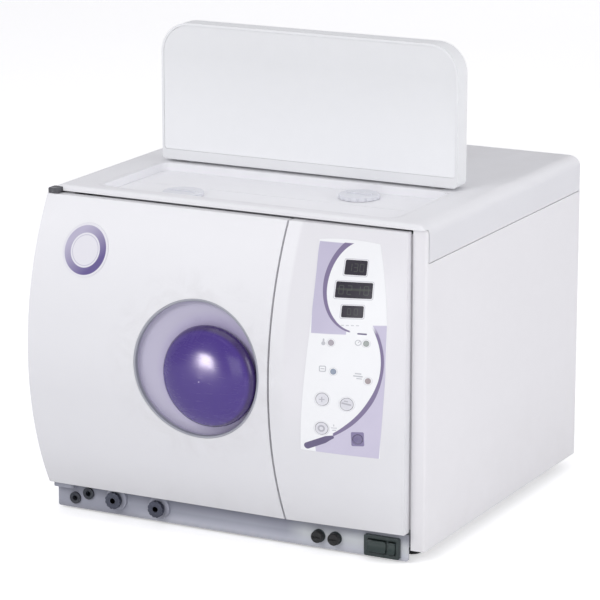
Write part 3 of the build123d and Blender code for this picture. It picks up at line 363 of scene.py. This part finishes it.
# ------------------------------------------------------------- front materials
def door_skin():
    """Pale moulded front with painted light on the upper part and painted shade low down, and
    hand marks around the dish.
    """
    m = Material("door_skin")
    x, y, z = m.xyz()
    slow = m.noise(2.4)
    tone = clamp01(slow + m.noise(45, 3.0, 0.6) * 0.25 - 0.1)
    # painted light on the upper part and painted shade on the lower, for the bowed front turning
    # up above and down below
    upper = m.mix((238, 238, 241), (243, 243, 246), tone)
    lower = m.mix((220, 220, 224), (227, 227, 230), tone)
    color = m.mix(lower, upper, rise(z, 170.0, 200.0))
    # painted shade: the control panel's side is a shade greyer, for its surface turning away from
    # the light
    panel = m.mix((226, 225, 229), (231, 230, 234), tone)
    color = m.mix(color, panel, rise(x, 345.0, 4.0) * rise(z, 150.0, 60.0) * 0.85)
    ring = band(Plane(x, z).radius(*DISH_CENTRE), centre=94.0, half_width=32.0)
    smudge = m.noise(26, 5.0, 0.62, distortion=1.2)
    marks = ring * patches(smudge, threshold=0.44, gain=3.0)
    color = m.mix(color, (206, 204, 206), marks * 0.35)
    low = fall(z, 90.0, 55.0) * m.noise(30, 4.0, 0.65)
    m.color(m.mix(color, (196, 195, 194), low * 0.35))
    m.roughness(0.26, marks * 0.12, scale=12, swing=0.12)
    m.coat(0.25, roughness=0.15)
    m.grain(800, depth=0.012)
    m.dimples(0.05, scale=70, strength=0.5)
    return m.finish(round_mm=0.7)


def knob_skin():
    """Gloss violet dome: slow drift, painted shade on the rolled rim, fine scratches, a painted
    highlight ring just inside the rim, broken into patches.
    """
    m = Material("knob_skin")
    x, y, z = m.xyz()
    radius = Plane(x, z).radius(*KNOB_CENTRE)
    swirl = m.noise(5, distortion=0.5)
    tone = clamp01(swirl * 0.9 + m.noise(60, 3.0) * 0.15)
    color = m.mix((58, 36, 118), (72, 48, 136), tone)
    # painted shade on the rolled rim
    color = m.mix(color, (58, 40, 92), rise(radius, 56.0, 2.5) * 0.85)
    # painted highlight: a paler ring just inside the rim, broken into patches
    line = band(radius, centre=54.3, half_width=1.5)
    line = line * patches(m.noise(30, 4.0, 0.6), threshold=0.35, gain=2.2)
    color = m.mix(color, (116, 96, 164), line * 0.4)
    rub = patches(m.noise(26, 5.0, 0.66, distortion=1.0), threshold=0.5, gain=3.0)
    rub = rub * rise(radius, 38.0, 14.0)
    m.color(m.mix(color, (98, 78, 150), rub * 0.3))
    scratches = m.noise(40, 6.0, 0.7, stretch=(1, 1, 6), distortion=2.0)
    m.set("Roughness", clamp01(scratches * 0.12 + rub * 0.12 + 0.2))
    m.coat(0.3, roughness=0.16)
    m.set("Specular IOR Level", 0.5)
    m.grain(650, depth=0.006)
    return m.finish(round_mm=0.5)


def dish_skin():
    """Pale lavender dish with painted shade on its rim wall, rubbed where the knob's lip passes.
    """
    m = Material("dish_skin")
    x, y, z = m.xyz()
    front = Plane(x, z)
    radius = front.radius(*DISH_CENTRE)
    color = m.mottled((186, 182, 202), (198, 194, 214), scale=6)
    knob_radius = front.radius(*KNOB_CENTRE)
    tint = clamp01(1.0 - (knob_radius - 60.0) / 16.0)
    color = m.mix(color, (184, 172, 214), tint * 0.6)
    rub = band(knob_radius, centre=66.0, half_width=5.0)
    rub = rub * patches(m.noise(90, 5.0, 0.7), threshold=0.42, gain=3.0)
    color = m.mix(color, (160, 154, 182), rub * 0.35)
    # depth below the bowed front
    squared = BOW_RADIUS * BOW_RADIUS - (z - BOW_Z) * (z - BOW_Z)
    depth = y - (BOW_Y - squared.math("SQRT"))
    # painted shade on the rim wall, in grey
    wall = rise(radius, 80.6, 0.6) * fall(depth, 6.4, 1.2)
    wall_shade = m.mottled((146, 148, 158), (164, 166, 176), scale=40, rough=0.5)
    color = m.mix(color, wall_shade, wall)
    m.color(m.mix(color, (176, 177, 186), rise(radius, 82.6, 0.5) * 0.7))
    m.roughness(0.36, scale=20, swing=0.16)
    m.grain(1100, depth=0.03, rough=0.6)
    return m.finish(round_mm=0.6)


def icon_distances(face):
    """Small plain icons beside the lamps and keys."""
    return [
        # drop and stem
        face.circle(393.6, 269.0, 2.3),
        face.segment(393.6, 269.0, 393.6, 273.6, 1.0),
        # clock ring and hand
        abs(face.circle(431.6, 271.0, 3.0)) - 0.5,
        face.segment(431.6, 271.0, 433.4, 272.8, 0.45),
        # padlock box
        abs(face.box(390.6, 397.4, 236.4, 242.4, 1.0)) - 0.6,
        face.segment(392.4, 239.4, 395.6, 239.4, 0.6),
        # steam bars
        face.segment(428.4, 232.2, 437.0, 231.2, 0.8),
        face.segment(430.0, 235.0, 435.6, 234.4, 0.7),
        face.segment(431.6, 229.2, 436.4, 228.6, 0.6),
        # lock marks between the keys
        face.segment(403.6, 168.6, 409.4, 168.6, 0.45),
        face.segment(404.6, 165.8, 408.4, 165.8, 0.45),
        face.segment(406.5, 170.8, 406.5, 172.6, 0.45),
        # dot at the lower left, and a row of dashes below the windows
        face.circle(358.3, 142.5, 1.2),
        *(face.segment(412.0 + 5.5 * i, 290.6, 414.6 + 5.5 * i, 290.6, 0.45) for i in range(4)),
    ]


def label_film():
    """Printed membrane: white film, lavender fields, two dark arcs and small icons."""
    m = Material("label_film")
    x, y, z = m.xyz()
    face = Plane(x, z)
    white = m.mottled((238, 239, 241), (244, 245, 247), scale=10, rough=0.5)
    lavender_tone = clamp01(m.noise(14, 3.0, 0.6) + (330.0 - z) / 400.0)
    lavender = m.mix((188, 183, 206), (204, 199, 219), lavender_tone)
    upper_arc = face.ellipse(430.0, 336.0, 41.0, 53.5)
    lower_arc = face.ellipse(348.0, 246.0, 109.3, 101.0)
    # upper field: inside the upper ellipse, cut off by the print's edges
    upper_field = (
        edge(-upper_arc, 0.3) * below(x, 418.0, 0.6) * above(z, 280.0, 0.5)
        * below(z, 381.5, 0.5) * above(x, (382.0 - z) * 0.05 + 373.5, 0.6))
    # the -distance edge selects the outside of each ellipse
    right = 460.5 - fall(z, 205.0, 75.0) * 7.0
    lower_field = (
        edge(-lower_arc, 0.3) * below(z, 291.0, 0.8) * below(x, right, 0.5)
        * above(x, 384.0, 0.8) * above(z, (421.0 - x) * 0.09 + 134.5, 0.5))
    color = m.mix(white, lavender, clamp01(upper_field + lower_field))
    # strokes whose width changes along the way
    width = rise(z, 296.0, 50.0) * 1.3 + rise(z, 283.0, 14.0) * 0.8 + 0.7
    upper_line = stroke(upper_arc, width, 0.3) * below(x, 422.0, 1.6) * below(z, 382.2, 0.5)
    width = fall(z, 226.0, 24.0) * 0.9 + 1.5 - fall(z, 172.0, 14.0) * 0.9
    lower_line = stroke(lower_arc, width, 0.3) * below(z, 285.0, 9.0) * above(x, 405.0, 1.0)
    taper = fall(x, 404.0, 8.0) * 2.0 + 2.0
    tail = edge(face.segment(374.5, 144.5, 404.0, 157.0, taper), 0.35)
    dash = edge(face.segment(431.0, 281.4, 439.5, 280.9, 0.9), 0.3)
    arcs = clamp01(upper_line + lower_line)
    color = m.mix(color, (128, 117, 150), arcs)
    color = m.mix(color, (104, 96, 128), clamp01(tail + dash))
    # field round the function key
    square = edge(face.box(424.9, 438.7, 147.0, 164.4, 1.6), 0.3)
    color = m.mix(color, (133, 124, 160), square)
    # thin frames round the windows
    gap = 1.3
    frames = total([
        stroke(face.box(left - gap, right_side + gap, bottom - gap, top + gap, 2.2), 0.3, 0.25)
        for left, right_side, bottom, top in DISPLAYS])
    color = m.mix(color, (176, 174, 186), clamp01(frames) * 0.8)
    ink = total([edge(distance, 0.3) for distance in icon_distances(face)])
    color = m.mix(color, (138, 138, 150), clamp01(ink) * 0.55)
    # rings round the lamps and keys
    circles = [(*lamp, 4.7) for lamp in LAMPS] + [(*key, KEY_RADIUS + 1.6) for key in ROUND_KEYS]
    rings = total([stroke(face.circle(*circle), 0.3, 0.25) for circle in circles])
    m.color(m.mix(color, (186, 185, 196), clamp01(rings) * 0.4))
    m.roughness(0.3, arcs * 0.05, scale=35, swing=0.16, detail=4.0)
    m.grain(1500, depth=0.01, rough=0.6)
    m.bump(clamp01(arcs + tail + square + clamp01(ink)), depth=0.02)
    return m.finish(round_mm=0.15)


def digit(face, centre_x, centre_z, height, lit):
    """Lit bars of one seven-segment digit."""
    half_width = height * 0.52 / 2
    left, right = centre_x - half_width, centre_x + half_width
    top, bottom = centre_z + height / 2, centre_z - height / 2
    bars = (
        (left, top, right, top), (right, top, right, centre_z),
        (right, centre_z, right, bottom), (left, bottom, right, bottom),
        (left, centre_z, left, bottom), (left, top, left, centre_z),
        (left, centre_z, right, centre_z))
    shapes = []
    for number in lit:
        x0, z0, x1, z1 = bars[number]
        # each bar stops short of the corners by this share of its length
        gap_x, gap_z = (x1 - x0) * 0.12, (z1 - z0) * 0.12
        bar = face.segment(x0 + gap_x, z0 + gap_z, x1 - gap_x, z1 - gap_z, height * 0.05)
        shapes.append(edge(bar, 0.2))
    return shapes


def display_glass():
    """Dark windows with dim seven-segment digits, and small lamps."""
    m = Material("display_glass")
    x, y, z = m.xyz()
    face = Plane(x, z)
    color = m.mottled((44, 41, 50), (66, 63, 72), scale=25)
    bars = []
    for first_x, pitch, row_z, height, digits in DIGIT_ROWS:
        for i, figure in enumerate(digits):
            bars += digit(face, first_x + i * pitch, row_z, height, DIGIT_BARS[figure])
    inset = 1.4
    inner = total([
        edge(face.box(left + inset, right - inset, bottom + inset, top - inset, 1.0), 0.4)
        for left, right, bottom, top in DISPLAYS])
    color = m.mix((58, 55, 64), color, clamp01(inner))
    # paler band across the middle window
    strip = stroke(z - 331.2, 1.2, 1.4) * stroke(x - 422.0, 19.0, 1.0)
    color = m.mix(color, (98, 104, 92), strip * 0.35)
    color = m.mix(color, (88, 94, 88), clamp01(total(bars)) * 0.6)
    lamp_colors = ((176, 170, 178), (164, 170, 168), (150, 160, 176), (170, 160, 162))
    for lamp, lamp_color in zip(LAMPS, lamp_colors):
        color = m.mix(color, lamp_color, edge(face.circle(*lamp, 4.3), 0.3))
    m.color(color)
    m.roughness(0.14, scale=60, swing=0.12, detail=4.0)
    m.set("Specular IOR Level", 0.35)
    m.coat(0.15, roughness=0.1)
    m.grain(900, depth=0.006, detail=1.0)
    return m.finish(round_mm=0.2)


def key_skin():
    """White membrane keys, each with a small plain mark, and the dark function key."""
    m = Material("key_skin")
    x, y, z = m.xyz()
    face = Plane(x, z)
    pale = m.mottled((214, 214, 221), (228, 228, 233), scale=40)
    dark = m.mottled((112, 103, 140), (124, 115, 152), scale=40)
    color = m.mix(pale, dark, edge(face.circle(*FUNCTION_KEY, 8.0), 0.3))
    mark = total([
        # plus
        edge(face.segment(391.4, 203.0, 396.6, 203.0, 0.6), 0.3),
        edge(face.segment(394.0, 200.4, 394.0, 205.6, 0.6), 0.3),
        # two slanted bars
        edge(face.segment(416.6, 199.6, 425.4, 197.4, 1.0), 0.4),
        edge(face.segment(418.8, 202.2, 422.4, 201.4, 0.6), 0.3),
        # ring
        stroke(face.circle(*ROUND_KEYS[2], 3.2), 1.0, 0.4),
    ])
    color = m.mix(color, (126, 124, 138), clamp01(mark) * 0.5)
    wear = patches(m.noise(55, 5.0, 0.66), threshold=0.48, gain=3.0)
    m.color(m.mix(color, (196, 194, 200), wear * 0.25))
    m.roughness(0.3, wear * 0.1, scale=60, swing=0.18, rough=0.5)
    m.grain(1300, depth=0.012, rough=0.6)
    m.bump(clamp01(mark), depth=0.03)
    return m.finish(round_mm=0.35)


def badge_print():
    """A plain ring on a pale disc."""
    m = Material("badge_print")
    x, y, z = m.xyz()
    centre_x, centre_z = BADGE_CENTRE
    distance = Plane(x, z).circle(centre_x, centre_z, 0.0)
    base = m.mottled((228, 227, 234), (236, 235, 241), scale=20, rough=0.5)
    ring = stroke(distance - 24.0, 4.2, 0.6)
    thin_ring = stroke(distance - 17.4, 0.5, 0.4)
    # the ring deepens toward the lower right
    tone = clamp01(((x - centre_x) - (z - centre_z)) / 60.0 + 0.5)
    color = m.mix(base, m.mix((186, 181, 204), (104, 92, 146), tone), ring)
    m.color(m.mix(color, (196, 192, 210), thin_ring * 0.8))
    m.roughness(0.28, scale=40, swing=0.15, rough=0.5)
    m.set("Coat Weight", 0.3)
    m.bump(ring, depth=0.06)
    m.grain(900, depth=0.01)
    return m.finish(round_mm=0.4)


def plinth_skin():
    """Grey plinth, paler to the right, with painted shadow along the top under the door and
    painted light along a pale lower band, dusty at the foot.
    """
    m = Material("plinth_skin")
    x, y, z = m.xyz()
    left = m.mottled((150, 152, 165), (166, 168, 180), scale=9)
    right = m.mottled((190, 194, 198), (204, 207, 210), scale=9)
    color = m.mix(left, right, above(x, 332.0, 24.0))
    # painted shadow of the door along the top of the plinth
    color = m.mix(color, (122, 124, 137), rise(z, 20.0, 10.0) * 0.75)
    # painted light: a paler band along the foot, below the door's shadow
    color = m.mix(color, (196, 198, 209), fall(z, 17.0, 9.0) * above(x, 120.0, 60.0) * 0.8)
    dust = m.noise(35, 5.0, 0.66) * fall(z, 9.0, 6.0)
    m.color(m.mix(color, (128, 126, 126), dust * 0.5))
    m.roughness(0.4, scale=24, swing=0.16, rough=0.5)
    m.grain(1100, depth=0.035, rough=0.6)
    return m.finish(round_mm=0.5)


def fitting_skin():
    """Grey drain couplings with painted shade in their mouths, and the small dark service ports
    at the left.
    """
    m = Material("fitting_skin")
    x, y, z = m.xyz()
    face = Plane(x, z)
    light = m.mottled((152, 154, 168), (176, 178, 191), scale=30)
    dark = m.mottled((36, 40, 48), (54, 58, 68), scale=30)
    color = m.mix(light, dark, below(x, 60.0, 0.5))
    # painted shade inside the coupling mouths
    first, second = (face.circle(*mouth, 8.4) for mouth in DRAIN_MOUTHS)
    color = m.mix(color, (70, 72, 84), edge(first.math("MINIMUM", second), 1.2))
    # painted shade on the lower half of the couplings, broken into patches
    low_shade_patches = patches(m.noise(70, 5.0, 0.7), threshold=0.46, gain=3.0) * fall(z, 24.0, 14.0)
    m.color(m.mix(color, (110, 108, 108), low_shade_patches * 0.5))
    m.roughness(0.28, low_shade_patches * 0.2, scale=50, swing=0.16, rough=0.5)
    m.grain(900, depth=0.02, rough=0.6)
    return m.finish(round_mm=0.4)


def hinge_skin():
    """Dark upper hinge cap and grey lower bracket, both rubbed bright round the pin."""
    m = Material("hinge_skin")
    x, y, z = m.xyz()
    dark = m.mottled((74, 74, 78), (92, 92, 97), scale=40, detail=4.0)
    grey = m.mottled((138, 140, 152), (156, 158, 170), scale=40, detail=4.0)
    color = m.mix(dark, grey, below(z, 120.0, 1.0))
    rub = fall(length(x - 7.5, y + 10.5), 4.2, 1.0)
    rub = rub * patches(m.noise(220, 4.0, 0.7), threshold=0.4, gain=3.0)
    m.color(m.mix(color, (176, 176, 180), rub * 0.7))
    m.roughness(0.32, scale=80, swing=0.18, rough=0.5)
    m.grain(700, depth=0.03, rough=0.6)
    return m.finish(round_mm=0.5)


# ------------------------------------------------- top and internal materials
def cover_skin():
    """Moulded top: pale deck, slightly deeper skirt, light scuffs and dust."""
    m = Material("cover_skin")
    x, y, z = m.xyz()
    tone = clamp01(m.noise(3) * 0.75 + m.noise(60, 3.0, 0.6) * 0.3)
    deck = m.mix((233, 233, 236), (239, 239, 242), tone)
    skirt = m.mix((221, 221, 225), (227, 227, 231), tone)
    color = m.mix(deck, skirt, fall(z, 402.0, 8.0))
    # the lid's rim leaves a faint rubbed frame round the recess
    recess = Plane(x, y).box(55.0, 451.0, 13.5, 174.0, 16.0)
    rim = band(recess, centre=3.0, half_width=4.0) * rise(z, 406.0, 2.0)
    scuff = rim * patches(m.noise(45, 5.0, 0.68), threshold=0.42, gain=3.0)
    color = m.mix(color, (206, 206, 210), scuff * 0.5)
    haze = rise(y, 220.0, 200.0) * patches(m.noise(9, 5.0, 0.66), threshold=0.4, gain=2.5)
    haze = haze * rise(z, 405.0, 3.0)
    m.color(m.mix(color, (214, 213, 213), haze * 0.4))
    m.roughness(0.4, scuff * 0.15, haze * 0.1, scale=14, swing=0.14)
    m.grain(1500, depth=0.03)
    m.dimples(0.06)
    return m.finish(round_mm=0.5)


def liner_skin():
    """Moulded liner of the lid, with painted light making it a little paler lower down, toward
    the hinge.
    """
    m = Material("liner_skin")
    x, y, z = m.xyz()
    tone = m.drift(3)
    far = m.mix((226, 227, 229), (234, 235, 237), tone)
    near = m.mix((243, 244, 246), (249, 250, 252), tone)
    # painted light: paler lower down, toward the hinge
    m.color(m.mix(far, near, fall(z, 545.0, 120.0)))
    m.roughness(0.43, scale=14, swing=0.14)
    m.grain(1000, depth=0.05)
    m.dimples(0.1)
    return m.finish(round_mm=0.5)


def board():
    """Green circuit board with paler tracks along cell edges."""
    m = Material("board")
    cells = m.texture(
        "ShaderNodeTexVoronoi", "Distance", {"Scale": 160}, feature="DISTANCE_TO_EDGE")
    tracks = below(cells, 0.05, 0.05)
    m.color(m.mix((24, 86, 52), (190, 170, 96), tracks * 0.5))
    m.roughness(0.35, scale=80, swing=0.2, detail=2.0, rough=0.5)
    m.bump(tracks, depth=0.05)
    return m.finish(round_mm=0.2)


def tank():
    m = Material("tank")
    m.color(m.mottled((214, 218, 222), (228, 231, 234), scale=8, rough=0.5))
    m.roughness(0.3, scale=30, swing=0.2, rough=0.5)
    m.set("Subsurface Weight", 0.2)
    m.set("Subsurface Scale", 0.01)
    m.grain(500, depth=0.04)
    return m.finish(round_mm=0.6)


def wool():
    m = Material("wool")
    fibres = m.noise(180, 6.0, 0.75, stretch=(1, 3, 1), distortion=1.5)
    m.color(m.mix((150, 142, 118), (206, 200, 178), clamp01(fibres)))
    m.set("Roughness", clamp01(fibres * 0.1 + 0.85))
    m.bump(fibres, depth=0.8)
    return m.finish(round_mm=0)


# each material with the pieces that wear it
LOOKS = [
    (plastic("case_paint", (233, 232, 235), rough=0.42, tone=5, peel=0.03, grain=1300, dust=0.22),
     ["side_panel_left", "side_panel_right", "back_panel", "front_bulkhead"]),
    (cover_skin(), ["top_cover"]),
    (plastic("lid_plastic", (236, 237, 239), rough=0.44, tone=4, peel=0.03, grain=1500),
     ["lid_shell", "lid_hinges"]),
    (liner_skin(), ["lid_liner"]),
    (plastic("tray_plastic", (243, 243, 246), rough=0.5, tone=5, peel=0.05, grain=1000),
     ["recess_tray"]),
    (door_skin(), ["door_cover", "control_fascia"]),
    (plastic("black_plastic", (30, 31, 32), rough=0.42, tone=8, peel=0.04, grain=1100, mottle=14),
     ["fuse_cap_1", "fuse_cap_2", "mains_inlet", "fan_frame", "fan_rotor"]),
    (plastic("rocker_plastic", (42, 56, 54), rough=0.24, tone=7, peel=0.01, grain=900, coat=0.5,
             mottle=30), ["rocker_power", "rocker_aux"]),
    (plastic("bezel_plastic", (50, 60, 60), rough=0.3, tone=8, peel=0.02, grain=900, mottle=30),
     ["switch_housings"]),
    (fitting_skin(), ["drain_fittings"]),
    (key_skin(), ["key_1", "key_2", "key_3", "key_4"]),
    (plastic("cap_plastic", (226, 227, 233), rough=0.42, tone=6, peel=0.03, grain=900, mottle=20),
     ["cap_clean", "cap_used"]),
    (plastic("filter_plastic", (228, 230, 233), rough=0.45, tone=6, peel=0.04, grain=900,
             mottle=20), ["air_filter"]),
    (hinge_skin(), ["door_hinges"]),
    (plastic("pan_paint", (186, 188, 194), rough=0.5, tone=8, peel=0.04, grain=900, dust=0.3),
     ["chassis"]),
    (steel("plate_steel", (198, 198, 200), rough=0.26, stretch=(30, 30, 1), scale=60),
     ["door_plate"]),
    (steel("polished_steel", (204, 204, 206), rough=0.16, stretch=(1, 24, 1), scale=60,
           stain=0.25, amount=0.08), ["pressure_plate", "chamber_vessel"]),
    (steel("tray_steel", (196, 196, 198), rough=0.3, stretch=(1, 30, 1), scale=70, stain=0.2),
     ["tray_rack", "tray_lower", "tray_middle", "tray_upper"]),
    (steel("machined_steel", (150, 150, 154), rough=0.32, stretch=(1, 20, 20), scale=90),
     ["hinge_blocks", "bolt_carriage", "knob_spindle"]),
    (steel("valve_metal", (98, 101, 114), rough=0.3, stretch=(8, 1, 8), scale=60, amount=0.1),
     ["drain_valve_1", "drain_valve_2"]),
    (steel("plated", (205, 205, 210), rough=0.14, stretch=(8, 1, 8), scale=60, amount=0.06),
     ["lock_bolts", "screws"]),
    (steel("brass", (196, 164, 92), rough=0.28, stretch=(1, 16, 1), scale=70),
     ["spindle_bearings", "rear_fittings", "safety_cap"]),
    (cast_aluminium(), ["bolt_guides", "pumps_and_valves"]),
    (rubber("foot_rubber", (34, 34, 36), rough=0.62), ["feet"]),
    (rubber("silicone", (206, 202, 196), rough=0.5), ["door_gasket"]),
    (dish_skin(), ["knob_dish"]),
    (knob_skin(), ["knob"]),
    (label_film(), ["control_label"]),
    (display_glass(), ["display_modules"]),
    (badge_print(), ["door_badge"]),
    (plinth_skin(), ["front_plinth"]),
    (tank(), ["reservoirs"]),
    (wool(), ["insulation"]),
    (steel("plant_steel", (176, 160, 140), rough=0.4), ["steam_plant"]),
    (board(), ["control_electronics"]),
]
material_of = {piece: material for material, pieces in LOOKS for piece in pieces}
for name, piece in NODES.items():
    piece.data.materials.clear()
    piece.data.materials.append(material_of[name])


# ----------------------------------------------------------------------- stage
def camera_ray(tree):
    """1 for rays straight from the camera, 0 otherwise."""
    return Value(tree, new_node(tree, "ShaderNodeLightPath").outputs["Is Camera Ray"])


def floor_paper():
    """White paper that glows to the camera but lights the object as plain paper."""
    m = Material("floor_paper")
    m.color(m.mottled((250, 250, 251), (255, 255, 255), scale=1.2, detail=2.0, rough=0.5))
    m.roughness(0.75, scale=6, swing=0.1, rough=0.5)
    m.set("Specular IOR Level", 0.1)
    m.grain(220, depth=0.05, detail=3.0)
    m.set("Emission Color", (1, 1, 1, 1))
    m.set("Emission Strength", camera_ray(m.tree) * 0.42)
    return m.finish(round_mm=0)


def floor_sweep():
    """Flat floor curving up into a back wall, in metres."""
    half_size, wall_top, bend_start, bend_radius = 9.0, 6.0, 3.2, 2.2
    profile = [(-half_size, 0.0), (bend_start, 0.0)]
    for degrees in range(6, 91, 6):
        angle = math.radians(degrees)
        profile.append((bend_start + bend_radius * math.sin(angle),
                        bend_radius - bend_radius * math.cos(angle)))
    profile.append((bend_start + bend_radius, wall_top))
    bm = bmesh.new()
    left, right = [[bm.verts.new((x, y, z)) for y, z in profile] for x in (-half_size, half_size)]
    for i in range(len(profile) - 1):
        bm.faces.new((left[i], right[i], right[i + 1], left[i + 1]))
    mesh = bpy.data.meshes.new("floor_sweep")
    bm.to_mesh(mesh)
    bm.free()
    for polygon in mesh.polygons:
        polygon.use_smooth = True
    mesh.materials.append(floor_paper())
    floor = bpy.data.objects.new("floor_sweep", mesh)
    scene.collection.objects.link(floor)


def studio_world():
    """Even room light that reads white where the camera sees past the sweep."""
    room_light, camera_extra = 0.50, 0.54
    world = bpy.data.worlds.new("studio")
    scene.world = world
    world.use_nodes = True
    tree = world.node_tree
    background = tree.nodes["Background"]
    background.inputs["Color"].default_value = (0.965, 0.96, 1.0, 1)
    strength = background.inputs["Strength"]
    strength.default_value = room_light
    feed(tree, strength, camera_ray(tree).math("MULTIPLY_ADD", camera_extra, room_light))


def area(name, location, aim, size, power, color=(1, 1, 1)):
    light = bpy.data.lights.new(name, "AREA")
    light.shape = "RECTANGLE"
    light.size, light.size_y = size
    light.energy = power
    light.color = color
    lamp = bpy.data.objects.new(name, light)
    lamp.location = location
    direction = Vector(aim) - Vector(location)
    lamp.rotation_euler = direction.to_track_quat("-Z", "Y").to_euler()
    scene.collection.objects.link(lamp)
    return lamp


def lights():
    key = area("key", (-0.9, -2.9, 2.0), aim=(0, 0, 0.25), size=(1.5, 1.5), power=33)
    key.visible_glossy = False
    area("front_fill", (1.6, -3.0, 0.9), aim=(0, 0, 0.2), size=(1.8, 1.6), power=14)
    area("side_fill", (3.0, 0.2, 1.1), aim=(0, 0, 0.25), size=(1.6, 1.6), power=25)
    area("top_soft", (0.0, 0.2, 3.0), aim=(0, 0, 0.2), size=(2.4, 2.4), power=13)
    # a highlight seen only on the knob
    kick = area("knob_kick", (-1.08, -3.0, 0.33), aim=(0, -0.28, 0.235), size=(0.72, 0.9),
                power=62, color=(1.0, 0.92, 1.0))
    kick.visible_diffuse = False
    receivers = bpy.data.collections.new("knob_light_only")
    receivers.objects.link(NODES["knob"])
    kick.light_linking.receiver_collection = receivers


def camera():
    """Long lens in front of the case, to its right and a little above."""
    azimuth, elevation = math.radians(27.397), math.radians(14.141)
    distance = 4.0351
    x, y, z = 206.625, 250.0, 231.017
    target = Vector(((x + ORIGIN_X) / 1000, (y + ORIGIN_Y) / 1000, z / 1000))
    data = bpy.data.cameras.new("camera")
    data.lens = 192.0
    data.sensor_width = 36.0
    data.clip_end = 60
    back = Vector((math.sin(azimuth) * math.cos(elevation),
                   -math.cos(azimuth) * math.cos(elevation), math.sin(elevation)))
    viewer = bpy.data.objects.new("camera", data)
    viewer.location = target + back * distance
    viewer.rotation_euler = (-back).to_track_quat("-Z", "Y").to_euler()
    scene.collection.objects.link(viewer)
    scene.camera = viewer


floor_sweep()
studio_world()
lights()
camera()
scene.view_settings.view_transform = "Standard"
scene.view_settings.look = "None"
